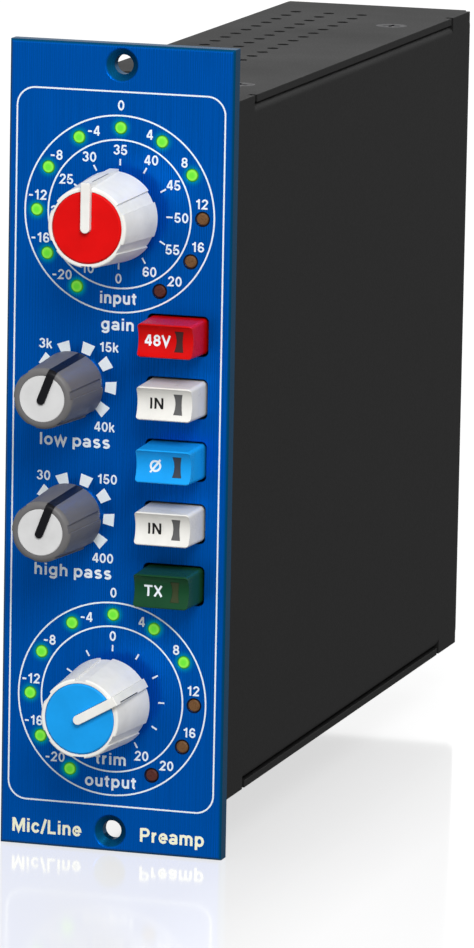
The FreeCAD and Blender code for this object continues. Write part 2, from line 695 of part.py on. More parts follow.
def op_amps():
    """Dual-in-line amplifiers in a row along the board's lower edge, each with a pin-one notch."""
    chips = []
    z = MAIN_BOARD_BOTTOM + CHIP_EDGE_INSET
    top = COMPONENT_X + CHIP_SIZE[0]
    for i in range(CHIP_COUNT):
        y = COMPONENT_FRONT_Y - CHIP_SIZE[1] / 2 + i * CHIP_PITCH
        block = seated_block(CHIP_SIZE, y, z)
        notch = peg(CHIP_NOTCH_RADIUS, top - CHIP_NOTCH_DEPTH, top + 1, y - CHIP_SIZE[1] / 2, z)
        chips.append(block.cut(notch))
    return chips


def film_capacitors():
    y = MAIN_BOARD_REAR - TRANSFORMER_REAR_INSET
    first = MAIN_BOARD_TOP - BOARD_HOLE_INSET_Z - 2 * FILM_PITCH
    return [seated_block(FILM_SIZE, y, first - i * FILM_PITCH) for i in range(FILM_COUNT)]


# ------------------------------------------------------------------ lamps
def lamp_group(first, last):
    """Lenses for lamps first to last of both rings."""
    lenses = []
    back = LAMP_TAIL
    for x, z in all_lamp_places(first, last):
        barrel = rod(LAMP_RADIUS, PANEL_FRONT, back, x, z)
        crown = cone(LAMP_RADIUS - LAMP_DOME, LAMP_RADIUS, PANEL_FRONT - LAMP_DOME, PANEL_FRONT, x, z)
        lenses.append(barrel.fuse(crown).removeSplitter())
    return lenses


def lamp_spacers():
    return [rod(SPACER_RADIUS, LAMP_TAIL, CONTROL_BOARD_Y, x, z) for x, z in all_lamp_places()]


# ------------------------------------------------------------------ rotary controls
def shaft(front):
    """A round spindle with a screwdriver slot in its front end."""
    slot_half = SHAFT_SLOT_WIDTH / 2
    spindle = rod(SHAFT_RADIUS, front, SHAFT_TAIL)
    slot = box(-SHAFT_RADIUS, SHAFT_RADIUS, front, front + SHAFT_SLOT_DEPTH, -slot_half, slot_half)
    return spindle.cut(slot)


def with_bushing(block):
    """A control body with its bushing and the blind hole for its spindle."""
    bushing = rod(BUSHING_RADIUS, -BUSHING_REACH, CONTROL_FRONT_GAP)
    bore = rod(SHAFT_RADIUS + SHAFT_GAP, -BUSHING_REACH - 1, SHAFT_TAIL + FIT_GAP)
    return fuse_all([block, bushing]).cut(bore)


def gain_switch_body():
    """Twelve-position rotary switch."""
    block = rod(SWITCH_RADIUS, CONTROL_FRONT_GAP, CONTROL_BOARD_Y)
    front_edge = edges_where(block, lambda c: near(c.y, CONTROL_FRONT_GAP))
    block = block.makeChamfer(SWITCH_EDGE, front_edge)
    return carried(with_bushing(block), 0, 0, UPPER_RING_Z)


def trim_pot_body():
    """Round potentiometer with a square terminal block at its foot."""
    block = rod(POT_RADIUS, CONTROL_FRONT_GAP, CONTROL_BOARD_Y)
    foot = box(-POT_FOOT_WIDTH / 2, POT_FOOT_WIDTH / 2, CONTROL_BOARD_Y - POT_FOOT_DEPTH, CONTROL_BOARD_Y,
               0, POT_RADIUS + POT_FOOT_REACH)
    block = fuse_all([block, foot])
    return carried(with_bushing(block), 0, 0, LOWER_RING_Z)


def filter_pot_bodies():
    """Two small square potentiometers, seated between the panel and the control board."""
    half = FILTER_POT_WIDTH / 2
    block = rounded_bar(half, half, FILTER_POT_CORNER, CONTROL_FRONT_GAP, CONTROL_BOARD_Y)
    body = with_bushing(block)
    return [carried(body, FILTER_X, 0, z) for z in (LOW_PASS_Z, HIGH_PASS_Z)]


def bushing_washers():
    y1 = PANEL_FRONT
    y0 = y1 - WASHER_THICKNESS
    outer = BUSHING_RADIUS + WASHER_RIM
    return [tube(outer, BUSHING_RADIUS, y0, y1, x, z) for x, z in control_places()]


def bushing_nuts():
    nuts = []
    y1 = PANEL_FRONT - WASHER_THICKNESS
    y0 = y1 - BUSHING_NUT_THICKNESS
    flats = 2 * (BUSHING_RADIUS + BUSHING_NUT_WALL)
    for x, z in control_places():
        blank = hex_prism(flats, y0, y1, x, z)
        nuts.append(blank.cut(rod(BUSHING_RADIUS, y0, y1, x, z)))
    return nuts


# ------------------------------------------------------------------ knobs
def grip_wedges(inner):
    """Sectors outside an inner cone, at each grip band."""
    reach = 2 * BIG_KNOB_BASE
    half = math.radians(GRIP_ANGLE / 2)
    wedges = []
    for turn in GRIP_TURNS:
        a0 = math.radians(turn) - half
        a1 = math.radians(turn) + half
        loop = [point(0, 0, 0), point(reach * math.sin(a0), 0, reach * math.cos(a0)),
                point(reach * math.sin(a1), 0, reach * math.cos(a1)), point(0, 0, 0)]
        wedge = Part.Face(Part.makePolygon(loop)).extrude(point(0, -2 * BIG_KNOB_REACH, 0))
        wedges.append(wedge.cut(inner))
    return Part.makeCompound(wedges)


def bar_slot():
    """The room the pointer bar takes in the cap."""
    half = BIG_BAR_WIDTH / 2 + BIG_CAP_GAP
    front = BIG_FACE - BIG_BAR_PROUD
    straight = box(-half, half, front, CAP_SEAT, 0, BIG_BAR_BASE)
    return fuse_all([straight, rod(half, front, CAP_SEAT)])


def big_bar():
    """The pointer: a bar across the face that turns down the side as a rib."""
    half = BIG_BAR_WIDTH / 2
    front = BIG_FACE - BIG_BAR_PROUD
    side = [point(-half, KNOB_BACK, BIG_BAR_BASE), point(-half, front, BIG_BAR_FRONT),
            point(-half, front, 0), point(-half, CAP_SEAT, 0),
            point(-half, CAP_SEAT, BIG_CAP_RADIUS), point(-half, KNOB_BACK, BIG_CAP_RADIUS),
            point(-half, KNOB_BACK, BIG_BAR_BASE)]
    rib = Part.Face(Part.makePolygon(side)).extrude(point(BIG_BAR_WIDTH, 0, 0))
    bar = fuse_all([rib, rod(half, front, CAP_SEAT)])
    return bar.makeFillet(BIG_BAR_EDGE, edges_where(bar, lambda c: near(c.y, front)))


def big_knob_body():
    """Moulded body with a raised pointer bar and five sunk grip bands."""
    body = cone(BIG_KNOB_FRONT, BIG_KNOB_BASE, BIG_FACE, KNOB_BACK)
    body = body.makeFillet(BIG_KNOB_RIM_ROUND, edges_where(body, lambda c: near(c.y, BIG_FACE)))
    core = cone(BIG_KNOB_FRONT - GRIP_DEPTH, BIG_KNOB_BASE - GRIP_DEPTH, BIG_FACE, KNOB_BACK)
    body = body.cut(grip_wedges(core))
    hollow = fuse_all([
        rod(COLLET_RADIUS, COLLET_FRONT, KNOB_BACK + 1),
        rod(COLLET_RADIUS + COLLET_NUT_ROOM, CAP_SEAT, COLLET_FRONT),
        rod(BIG_CAP_RADIUS + BIG_CAP_GAP, BIG_FACE - 1, CAP_SEAT),
    ])
    return fuse_all([body.cut(hollow), big_bar()])


def big_knob_cap():
    """Coloured disc pressed into the face, slotted for the pointer bar."""
    front = BIG_FACE - BIG_CAP_PROUD
    disc = rod(BIG_CAP_RADIUS, front, CAP_SEAT)
    disc = disc.makeChamfer(BIG_CAP_EDGE, edges_where(disc, lambda c: near(c.y, front)))
    return disc.cut(bar_slot())


def collet():
    """Split brass sleeve that grips the spindle, and the hexagon nut that draws it tight."""
    slit = COLLET_SLIT / 2
    sleeve = tube(COLLET_RADIUS, SHAFT_RADIUS, COLLET_FRONT, COLLET_BACK)
    sleeve = sleeve.cut(box(-slit, slit, COLLET_FRONT - 1, COLLET_BACK + 1, 0, COLLET_RADIUS + 1))
    nut_front = COLLET_FRONT - COLLET_NUT_THICKNESS
    nut = hex_prism(COLLET_NUT_FLATS, nut_front, COLLET_FRONT)
    nut = nut.cut(rod(SHAFT_RADIUS - COLLET_SLIT / 2, nut_front, COLLET_FRONT))
    return [sleeve, nut]


def small_bar_slab():
    """The strip of the small knob, as wide as its pointer, from past the axis outwards."""
    half = SMALL_BAR_WIDTH / 2
    end = -SMALL_BAR_PAST_AXIS
    slab = box(-half, half, SMALL_FACE - 1, KNOB_BACK + 1, end, SMALL_KNOB_BASE + 1)
    return fuse_all([slab, rod(half, SMALL_FACE - 1, KNOB_BACK + 1, 0, end)])


def small_knob_outline(face):
    body = cone(SMALL_KNOB_FRONT, SMALL_KNOB_BASE, face, KNOB_BACK)
    return body.makeFillet(SMALL_KNOB_SHOULDER, edges_where(body, lambda c: near(c.y, face)))


def small_knob_pointer():
    """Inlaid pointer: a strip down the side that turns over the shoulder and crosses the face."""
    core = cone(SMALL_KNOB_FRONT - SMALL_BAR_DEPTH, SMALL_KNOB_BASE - SMALL_BAR_DEPTH,
                SMALL_FACE + SMALL_CAP_THICKNESS, KNOB_BACK + 1)
    return small_knob_outline(SMALL_FACE - SMALL_BAR_PROUD).common(small_bar_slab()).cut(core)


def small_knob_body():
    core = cone(SMALL_KNOB_FRONT - SMALL_GRIP_DEPTH, SMALL_KNOB_BASE - SMALL_GRIP_DEPTH,
                SMALL_FACE, KNOB_BACK)
    body = small_knob_outline(SMALL_FACE).cut(grip_wedges(core))
    hollow = fuse_all([
        rod(SHAFT_RADIUS, SMALL_SHAFT_FRONT, KNOB_BACK + 1),
        rod(SMALL_CAP_RADIUS, SMALL_FACE - 1, SMALL_FACE + SMALL_CAP_THICKNESS),
    ])
    return body.cut(hollow).cut(small_knob_pointer())


def small_knob_cap():
    disc = rod(SMALL_CAP_RADIUS, SMALL_FACE, SMALL_FACE + SMALL_CAP_THICKNESS)
    disc = disc.makeChamfer(SMALL_CAP_EDGE, edges_where(disc, lambda c: near(c.y, SMALL_FACE)))
    return disc.cut(small_bar_slab())


# ------------------------------------------------------------------ push buttons
def scoop(sink=0.0):
    """The finger hollow: a cylinder across the button's face."""
    half_chord = BUTTON_HEIGHT / 2 - BUTTON_TAPER - SCOOP_MARGIN
    radius = (half_chord ** 2 + SCOOP_DEPTH ** 2) / (2 * SCOOP_DEPTH)
    centre_y = BUTTON_FACE + SCOOP_DEPTH - radius
    length = 2 * BUTTON_WIDTH
    return Part.makeCylinder(radius + sink, length, point(-length / 2, centre_y, 0), X_AXIS)


def lens_block():
    """The lamp window: an upright block drawn in to a waist at its middle."""
    side = []
    for step in (1, 0.5, 0, -0.5, -1):
        half_x = (LENS_WAIST + (LENS_WIDTH - LENS_WAIST) * step ** 2) / 2
        side.append((half_x, step * LENS_HEIGHT / 2))
    left = [point(LENS_OFFSET - x, BUTTON_FACE, z) for x, z in side]
    right = [point(LENS_OFFSET + x, BUTTON_FACE, z) for x, z in reversed(side)]
    outline = Part.makePolygon(left + right + left[:1])
    return Part.Face(outline).extrude(point(0, BUTTON_CAVITY_FRONT + LENS_TAIL - BUTTON_FACE, 0))


def button_cap():
    """Tapered hollow cap with a scooped face, a stem socket and a lens window."""
    half_x = BUTTON_WIDTH / 2
    half_z = BUTTON_HEIGHT / 2
    rear = rounded_rectangle(half_x, half_z, BUTTON_CORNER, BUTTON_SKIRT)
    face = rounded_rectangle(half_x - BUTTON_TAPER, half_z - BUTTON_TAPER, BUTTON_CORNER, BUTTON_FACE)
    block = Part.makeLoft([rear, face], True, True)
    block = block.makeFillet(BUTTON_EDGE, edges_where(block, lambda c: near(c.y, BUTTON_FACE)))
    cavity = box(BUTTON_WALL - half_x, half_x - BUTTON_WALL, BUTTON_CAVITY_FRONT, BUTTON_SKIRT + 1,
                 BUTTON_WALL - half_z, half_z - BUTTON_WALL)
    socket_half = STEM_WIDTH / 2 + BUTTON_SOCKET_WALL
    socket = box(-socket_half, socket_half, BUTTON_CAVITY_FRONT, BUTTON_SKIRT - BUTTON_SOCKET_INSET,
                 BUTTON_WALL - half_z, half_z - BUTTON_WALL)
    block = fuse_all([block.cut(cavity), socket])
    stem_half = STEM_WIDTH / 2
    stem_hole = box(-stem_half, stem_half, STEM_FRONT, BUTTON_SKIRT, -stem_half, stem_half)
    return block.cut(Part.makeCompound([scoop(), stem_hole, lens_block()]))


def button_lens():
    return lens_block().cut(scoop(LENS_SINK))


def button_stem():
    half = STEM_WIDTH / 2
    tail = CONTROL_BOARD_Y - BUTTON_TRAVEL - STEM_TAIL_GAP
    return box(-half, half, STEM_FRONT, tail, -half, half)


def push_switch_bodies():
    """Latching push switches on the control board, each with a square guide for its stem."""
    half_x = PUSH_SWITCH_WIDTH / 2
    half_z = PUSH_SWITCH_HEIGHT / 2
    guide = STEM_WIDTH / 2 + STEM_GAP
    floor = CONTROL_BOARD_Y - PUSH_SWITCH_FLOOR
    block = rounded_bar(half_x, half_z, PUSH_SWITCH_CORNER, PUSH_SWITCH_FRONT, CONTROL_BOARD_Y)
    body = block.cut(box(-guide, guide, PUSH_SWITCH_FRONT - 1, floor, -guide, guide))
    return [carried(body, BUTTON_X, 0, z) for z in button_heights()]


# ------------------------------------------------------------------ nodes
def save_fixed_nodes():
    save("front_panel", front_panel())
    save("panel_studs", panel_studs())
    save("panel_nuts", panel_nuts())
    save("chassis_wrap", chassis_wrap())
    save("side_cover", side_cover())
    save("cover_screws", cover_screws())
    save("main_board", main_board())
    save("edge_contacts", edge_contacts())
    save("board_standoffs", board_standoffs())
    save("board_screws", board_screws())
    save("control_board", control_board())
    save("board_socket", board_socket())
    save("board_header", board_header())
    save("input_transformer", input_transformer())
    save("relays", relays())
    save("electrolytic_capacitors", electrolytic_capacitors())
    save("op_amps", op_amps())
    save("film_capacitors", film_capacitors())
    save("green_lamps", lamp_group(0, 8))
    save("amber_lamps", lamp_group(8, 10))
    save("red_lamps", lamp_group(10, 11))
    save("lamp_spacers", lamp_spacers())
    save("gain_switch_body", gain_switch_body())
    save("trim_pot_body", trim_pot_body())
    save("filter_pot_bodies", filter_pot_bodies())
    save("bushing_washers", bushing_washers())
    save("bushing_nuts", bushing_nuts())
    save("push_switch_bodies", push_switch_bodies())


def save_big_knobs():
    body = big_knob_body()
    cap = big_knob_cap()
    grip = collet()
    spindle = shaft(COLLET_FRONT)
    for name, z, rest in (("gain", UPPER_RING_Z, 0.0), ("trim", LOWER_RING_Z, TRIM_REST_ANGLE)):
        save(name + "_shaft", turned(spindle, rest, 0, z))
        save(name + "_collet", [turned(piece, rest, 0, z) for piece in grip])
        save(name + "_knob", turned(body, rest, 0, z))
        save(name + "_knob_cap", turned(cap, rest, 0, z))


def save_small_knobs():
    body = small_knob_body()
    cap = small_knob_cap()
    pointer = small_knob_pointer()
    spindle = shaft(SMALL_SHAFT_FRONT)
    for name, z in (("low_pass", LOW_PASS_Z), ("high_pass", HIGH_PASS_Z)):
        save(name + "_shaft", turned(spindle, FILTER_REST_ANGLE, FILTER_X, z))
        save(name + "_knob", turned(body, FILTER_REST_ANGLE, FILTER_X, z))
        save(name + "_knob_cap", turned(cap, FILTER_REST_ANGLE, FILTER_X, z))
        save(name + "_pointer", turned(pointer, FILTER_REST_ANGLE, FILTER_X, z))


def save_buttons():
    cap = button_cap()
    lens = button_lens()
    stem = button_stem()
    for number, z in enumerate(button_heights(), start=1):
        save("button_%d_cap" % number, carried(cap, BUTTON_X, 0, z))
        save("button_%d_lens" % number, carried(lens, BUTTON_X, 0, z))
        save("button_%d_stem" % number, carried(stem, BUTTON_X, 0, z))


save_fixed_nodes()
save_big_knobs()
save_small_knobs()
save_buttons()
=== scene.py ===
import json
import math

import bmesh
import bpy
from bpy.props import FloatProperty, FloatVectorProperty, PointerProperty
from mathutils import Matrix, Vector
from mathutils.bvhtree import BVHTree


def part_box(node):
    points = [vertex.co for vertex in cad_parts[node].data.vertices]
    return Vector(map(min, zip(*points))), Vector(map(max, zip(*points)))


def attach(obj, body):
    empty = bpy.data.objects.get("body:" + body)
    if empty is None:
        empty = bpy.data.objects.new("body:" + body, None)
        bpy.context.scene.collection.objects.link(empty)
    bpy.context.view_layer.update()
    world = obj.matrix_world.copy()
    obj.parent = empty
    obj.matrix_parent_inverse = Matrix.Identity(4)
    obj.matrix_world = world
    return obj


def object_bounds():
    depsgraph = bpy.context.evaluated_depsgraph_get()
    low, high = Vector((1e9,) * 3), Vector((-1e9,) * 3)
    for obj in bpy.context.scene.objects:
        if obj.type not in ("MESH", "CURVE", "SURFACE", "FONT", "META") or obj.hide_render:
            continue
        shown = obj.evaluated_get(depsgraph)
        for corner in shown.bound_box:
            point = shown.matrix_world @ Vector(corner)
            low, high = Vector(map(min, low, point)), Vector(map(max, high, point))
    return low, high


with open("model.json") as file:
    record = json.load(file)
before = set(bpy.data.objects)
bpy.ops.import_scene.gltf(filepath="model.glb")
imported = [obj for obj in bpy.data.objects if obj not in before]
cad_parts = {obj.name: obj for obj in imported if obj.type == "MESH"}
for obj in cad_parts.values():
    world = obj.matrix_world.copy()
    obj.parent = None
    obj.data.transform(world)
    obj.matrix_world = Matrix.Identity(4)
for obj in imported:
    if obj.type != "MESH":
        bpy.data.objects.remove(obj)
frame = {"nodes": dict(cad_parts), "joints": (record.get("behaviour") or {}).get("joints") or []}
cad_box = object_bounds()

bl_info = {
    "name": "Rack microphone preamp",
    "version": (1, 0, 0),
    "blender": (4, 5, 0),
    "location": "View3D > Sidebar > Preamp",
    "description": "Finishes, printed scales and studio for a single-width rack microphone preamp",
    "category": "Object",
}

MM = 0.001
PANEL_LOW, PANEL_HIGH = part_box("front_panel")
PANEL_FACE = PANEL_LOW.y
LAMP_RADIUS = 1.0 * MM
LAMP_RING = -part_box("green_lamps")[0].x - LAMP_RADIUS
LAMP_STEP = math.radians(30)
LIT_FROM, LIT_TO = math.radians(-165), math.radians(75)
JOINT_PLACE = {joint["name"]: joint.get("pos_m") for joint in frame["joints"]}
BUTTON_NUMBERS = range(1, 6)


# ------------------------------------------------------------------ settings
def size_setting(name, description, default):
    return FloatProperty(name=name, description=description, default=default, min=0.0,
                         subtype="DISTANCE", unit="LENGTH")


def colour_setting(name, description, default):
    return FloatVectorProperty(name=name, description=description, default=default, size=3,
                               min=0.0, max=1.0, subtype="COLOR")


class PreampPrintSettings(bpy.types.PropertyGroup):
    """Sizes of the ink on the panel and the buttons."""

    line: size_setting("Line", "Width of the border and of the meter rings", 0.26 * MM)
    ink: size_setting("Ink", "Thickness of the ink film", 0.03 * MM)
    border_side: size_setting("Side margin", "From the panel's side to the border line", 1.4 * MM)
    border_end: size_setting("End margin", "From the panel's end to the border line", 7.7 * MM)
    border_corner: size_setting("Corner", "Radius of the border's corners", 3.05 * MM)
    ring_outer: size_setting("Outer ring", "Radius of each meter's outer ring", 16.08 * MM)
    ring_inner: size_setting("Inner ring", "Radius of each meter's inner ring", 12.13 * MM)
    level_radius: size_setting("Level numbers", "Radius on which the level numbers stand", 14.15 * MM)
    level_height: size_setting("Level height", "Height of the level numbers", 1.62 * MM)
    zero_radius: size_setting("Zero", "Radius of the zero above the outer ring", 17.75 * MM)
    scale_radius: size_setting("Scale numbers", "Radius on which the dial numbers stand", 10.52 * MM)
    scale_height: size_setting("Scale height", "Height of the dial numbers", 1.62 * MM)
    tick_radius: size_setting("Ticks", "Radius of the middle of the dial ticks", 8.5 * MM)
    tick_length: size_setting("Tick length", "Length of a dial tick", 1.05 * MM)
    tick_width: size_setting("Tick width", "Width of a dial tick", 0.27 * MM)
    block_outer: size_setting("Block top", "Outer radius of the filter scale blocks", 6.95 * MM)
    block_inner: size_setting("Block foot", "Inner radius of the filter scale blocks", 5.1 * MM)
    block_width: size_setting("Block width", "Width of a filter scale block at its top", 2.15 * MM)
    block_foot: size_setting("Block foot width", "Width of a filter scale block at its foot", 1.55 * MM)
    filter_height: size_setting("Filter height", "Height of the filter numbers", 1.6 * MM)
    word_height: size_setting("Words", "Height of the words' capitals", 1.98 * MM)
    foot_height: size_setting("Foot words", "Height of the capitals at the panel's foot", 2.3 * MM)
    legend_height: size_setting("Legend", "Height of the button legends", 1.8 * MM)
    legend_shift: size_setting("Legend shift", "From a button's middle to its legend's", 1.4 * MM)
    lap: size_setting("Lap", "How far each stroke of a letter stands above the one before", 0.004 * MM)


class PreampFinishSettings(bpy.types.PropertyGroup):
    """Colours of the finishes."""

    panel: colour_setting("Panel", "Anodised blue", (0.0, 0.118, 0.57))
    # Painted shade: the colour of the panel's bevels and side faces, darker than the face because less light
    # falls on them
    panel_edge: colour_setting("Panel edge", "Machined edges of the panel", (0.002, 0.085, 0.20))
    case: colour_setting("Case", "Powder coat", (0.009, 0.009, 0.009))
    knob_white: colour_setting("White knob", "Moulded body of the large knobs", (0.86, 0.85, 0.81))
    knob_grey: colour_setting("Grey knob", "Moulded body of the small knobs", (0.150, 0.146, 0.148))
    red: colour_setting("Red", "Gain cap and first button", (0.72, 0.004, 0.004))
    sky: colour_setting("Sky blue", "Trim cap and third button", (0.010, 0.34, 0.84))
    green: colour_setting("Green", "Fifth button", (0.009, 0.062, 0.024))
    ink: colour_setting("Ink", "White ink", (0.84, 0.91, 0.96))
    cream: colour_setting("Cream ink", "Ink of the words at the foot", (0.95, 0.95, 0.72))
    lit: colour_setting("Lit lamp", "Light of the green lamps", (0.105, 0.53, 0.028))
    halo: colour_setting("Halo", "Light of the lit lamps on the panel", (0.0, 0.17, 0.03))


class PreampStageSettings(bpy.types.PropertyGroup):
    """Camera and lights."""

    camera_place: FloatVectorProperty(name="Camera", description="Where the camera stands",
                                      default=(0.36392, -1.13927, 0.20760), size=3,
                                      subtype="TRANSLATION", unit="LENGTH")
    camera_turn: FloatVectorProperty(name="Turn", description="How the camera is turned",
                                     default=tuple(math.radians(a) for a in (79.97263, -1.05276, 16.99398)),
                                     size=3, subtype="EULER", unit="ROTATION")
    lens: FloatProperty(name="Lens", description="Focal length", default=282.4965, min=1.0,
                        subtype="DISTANCE_CAMERA")
    key: FloatProperty(name="Key", description="Power of the lamp above and to the right, in watts",
                       default=11.0, min=0.0)
    sky: FloatProperty(name="Upper room", description="Brightness of the room's upper half",
                       default=0.63, min=0.0)
    ground: FloatProperty(name="Lower room", description="Brightness of the room's lower half",
                          default=0.33, min=0.0)


def print_settings():
    return bpy.context.scene.preamp_print


def finish_settings():
    return bpy.context.scene.preamp_finish


# ------------------------------------------------------------------ shader tools
class Wire:
    """A shader value that takes part in arithmetic; each operation adds a Math node."""

    def __init__(self, paint, socket):
        self.paint = paint
        self.socket = socket

    def maths(self, operation, *values):
        return self.paint.node("ShaderNodeMath", {"operation": operation}, dict(enumerate(values)))

    def __add__(self, other):
        return self.maths("ADD", self, other)

    def __radd__(self, other):
        return self.maths("ADD", other, self)

    def __sub__(self, other):
        return self.maths("SUBTRACT", self, other)

    def __rsub__(self, other):
        return self.maths("SUBTRACT", other, self)

    def __mul__(self, other):
        return self.maths("MULTIPLY", self, other)

    def __rmul__(self, other):
        return self.maths("MULTIPLY", other, self)

    def __truediv__(self, other):
        return self.maths("DIVIDE", self, other)

    def __pow__(self, other):
        return self.maths("POWER", self, other)

    def __gt__(self, other):
        return self.maths("GREATER_THAN", self, other)

    def __lt__(self, other):
        return self.maths("LESS_THAN", self, other)


class Paint:
    """One material, or the room's light, under construction."""

    def __init__(self, name, holder=None, coordinates="Object"):
        self.holder = holder or bpy.data.materials.new(name)
        self.holder.use_nodes = True
        self.tree = self.holder.node_tree
        self.tree.nodes.clear()
        self.place = self.node("ShaderNodeTexCoord", out=coordinates)

    def node(self, kind, settings=None, sockets=None, out=0):
        """Adds a node, applies its settings, fills its sockets and returns one output."""
        made = self.tree.nodes.new(kind)
        for name, value in (settings or {}).items():
            if name == "stops":
                self.set_stops(made.color_ramp, value)
            else:
                setattr(made, name, value)
        for key, value in (sockets or {}).items():
            if isinstance(value, Wire):
                self.tree.links.new(value.socket, made.inputs[key])
            else:
                made.inputs[key].default_value = value
        return Wire(self, made.outputs[out]) if len(made.outputs) else None

    @staticmethod
    def set_stops(ramp, stops):
        while len(ramp.elements) < len(stops):
            ramp.elements.new(1.0)
        for element, (position, colour) in zip(ramp.elements, stops):
            element.position = position
            element.color = (*colour, 1.0)

    def mix(self, factor, first, second, blend="MIX"):
        """A colour between two others."""
        sockets = {0: factor, 6: self.full(first), 7: self.full(second)}
        settings = {"data_type": "RGBA", "blend_type": blend, "clamp_factor": True}
        return self.node("ShaderNodeMix", settings, sockets, out=2)

    @staticmethod
    def full(colour):
        return colour if isinstance(colour, Wire) else (*colour[:3], 1.0)

    def stretched(self, x=1.0, y=1.0, z=1.0):
        """The place on the object, drawn out along the axes."""
        return self.node("ShaderNodeVectorMath", {"operation": "MULTIPLY"},
                         {0: self.place, 1: (x, y, z)})

    def noise(self, grain, detail=3.0, roughness=0.55, vector=None):
        """Cloudy noise from 0 to 1 with features about one grain across, in metres."""
        sockets = {"Vector": vector or self.place, "Scale": 1.0 / grain, "Detail": detail,
                   "Roughness": roughness}
        return self.node("ShaderNodeTexNoise", {}, sockets)

    def spread(self, value, low, high, to_low=0.0, to_high=1.0):
        """A value moved from one range to another and held there."""
        return self.node("ShaderNodeMapRange", {"clamp": True},
                         {0: value, 1: low, 2: high, 3: to_low, 4: to_high})

    def along(self, axis):
        """The place along one axis."""
        return self.node("ShaderNodeSeparateXYZ", {}, {0: self.place}, out=axis)

    def bump(self, height, distance, strength=1.0, edge=0.0):
        """A normal from a height map, over edges rounded by the given radius."""
        sockets = {"Height": height, "Distance": distance, "Strength": strength}
        if edge:
            sockets["Normal"] = self.node("ShaderNodeBevel", {"samples": 4}, {"Radius": edge})
        return self.node("ShaderNodeBump", {}, sockets)

    def surface(self, **sockets):
        """The finished surface; sockets are named as the shader names them, with _ for spaces."""
        filled = {}
        for name, value in sockets.items():
            if isinstance(value, (tuple, list)) or hasattr(value, "foreach_get"):
                value = (*value[:3], 1.0)
            filled[name.replace("_", " ")] = value
        shader = self.node("ShaderNodeBsdfPrincipled", {}, filled)
        self.node("ShaderNodeOutputMaterial", {}, {"Surface": shader})
        return self.holder


# ------------------------------------------------------------------ finishes
LOW_SHINE = 0.1
# Depths behind the panel's face over which the painted edge shade comes in
SHADED_EDGE_DEPTHS = (0.06 * MM, 0.3 * MM)


def shade(colour, factor):
    return tuple(min(1.0, channel * factor) for channel in colour[:3])


def lamp_field(paint):
    """The distance to the nearest lamp place of the meter rings, and the turn round the ring."""
    x, z = paint.along("X"), paint.along("Z")
    lower, upper = knob_centre("trim_turn")[1], knob_centre("gain_turn")[1]
    rise = z - (lower + (z > 0.0) * (upper - lower))
    radius = (x * x + rise * rise) ** 0.5
    turn = x.maths("ARCTAN2", x, rise)
    steps = turn / LAMP_STEP
    side = (steps - steps.maths("ROUND", steps)) * LAMP_STEP * LAMP_RING
    off = radius - LAMP_RING
    return (off * off + side * side) ** 0.5, turn


def anodised_panel():
    """Blue anodised aluminium, brushed up and down, with painted shade darkening its edges and side faces,
    and a halo round each lit lamp.
    """
    paint = Paint("anodised_blue")
    blue = finish_settings().panel
    streaks = paint.noise(0.25 * MM, 2.0, 0.6, paint.stretched(1.0, 1.0, 0.012))
    clouds = paint.noise(9 * MM, 2.0)
    tone = paint.spread(streaks * 0.7 + clouds * 0.3, 0.3, 0.7)
    colour = paint.mix(tone, shade(blue, 0.92), shade(blue, 1.08))
    # Painted shade: faces behind the front face turn to the darker edge colour
    behind = paint.spread(paint.along("Y"), *(PANEL_FACE + depth for depth in SHADED_EDGE_DEPTHS))
    colour = paint.mix(behind, colour, finish_settings().panel_edge)
    distance, turn = lamp_field(paint)
    glow = paint.spread(distance, LAMP_RADIUS, 2.1 * LAMP_RADIUS, 1.0, 0.0)
    glow = glow * glow * (turn > LIT_FROM) * (turn < LIT_TO)
    halo = paint.mix(glow, (0.0, 0.0, 0.0), finish_settings().halo)
    roughness = paint.spread(streaks, 0.25, 0.75, 0.22, 0.33)
    normal = paint.bump(streaks, 0.01 * MM, 0.2, 0.12 * MM)
    return paint.surface(Base_Color=colour, Metallic=0.65, Roughness=roughness, Normal=normal,
                         Specular_IOR_Level=0.0, Emission_Color=halo, Emission_Strength=1.0)


def powder_coat():
    """Matt black powder coat with a fine orange-peel grain."""
    paint = Paint("powder_coat_black")
    black = finish_settings().case
    peel = paint.noise(0.35 * MM, 2.0)
    clouds = paint.noise(22 * MM, 3.0)
    colour = paint.mix(paint.spread(clouds, 0.35, 0.65), shade(black, 0.85), shade(black, 1.2))
    roughness = paint.spread(clouds * 0.5 + peel * 0.5, 0.3, 0.7, 0.42, 0.56)
    normal = paint.bump(peel, 0.05 * MM, 0.3, 0.2 * MM)
    return paint.surface(Base_Color=colour, Roughness=roughness, Normal=normal, Specular_IOR_Level=0.14)


def moulded(name, colour, roughness=0.32, grain=0.12 * MM, edge=0.12 * MM, depth=0.004 * MM, shine=0.2):
    """Moulded plastic: slight tone drift, fine mould texture and softened edges."""
    paint = Paint(name)
    clouds = paint.noise(4 * MM, 3.0)
    texture = paint.noise(grain, 2.0)
    tone = paint.mix(paint.spread(clouds, 0.35, 0.65), shade(colour, 0.95), shade(colour, 1.03))
    rough = paint.spread(clouds * 0.6 + texture * 0.4, 0.3, 0.7, roughness - 0.04, roughness + 0.06)
    normal = paint.bump(texture, depth, 0.5, edge)
    return paint.surface(Base_Color=tone, Roughness=rough, Normal=normal, Specular_IOR_Level=shine)


def turned_metal(name, colour, roughness=0.3, grain=0.3 * MM):
    """Machined or plated metal with fine tool marks and slight tarnish."""
    paint = Paint(name)
    marks = paint.noise(grain, 3.0, 0.7, paint.stretched(1.0, 0.15, 1.0))
    tarnish = paint.spread(paint.noise(2.5 * MM, 4.0), 0.45, 0.75)
    tone = paint.mix(tarnish, colour, shade(colour, 0.72))
    rough = paint.spread(marks, 0.3, 0.7, roughness - 0.06, roughness + 0.1)
    normal = paint.bump(marks, 0.006 * MM, 0.4, 0.08 * MM)
    return paint.surface(Base_Color=tone, Metallic=1.0, Roughness=rough, Normal=normal)


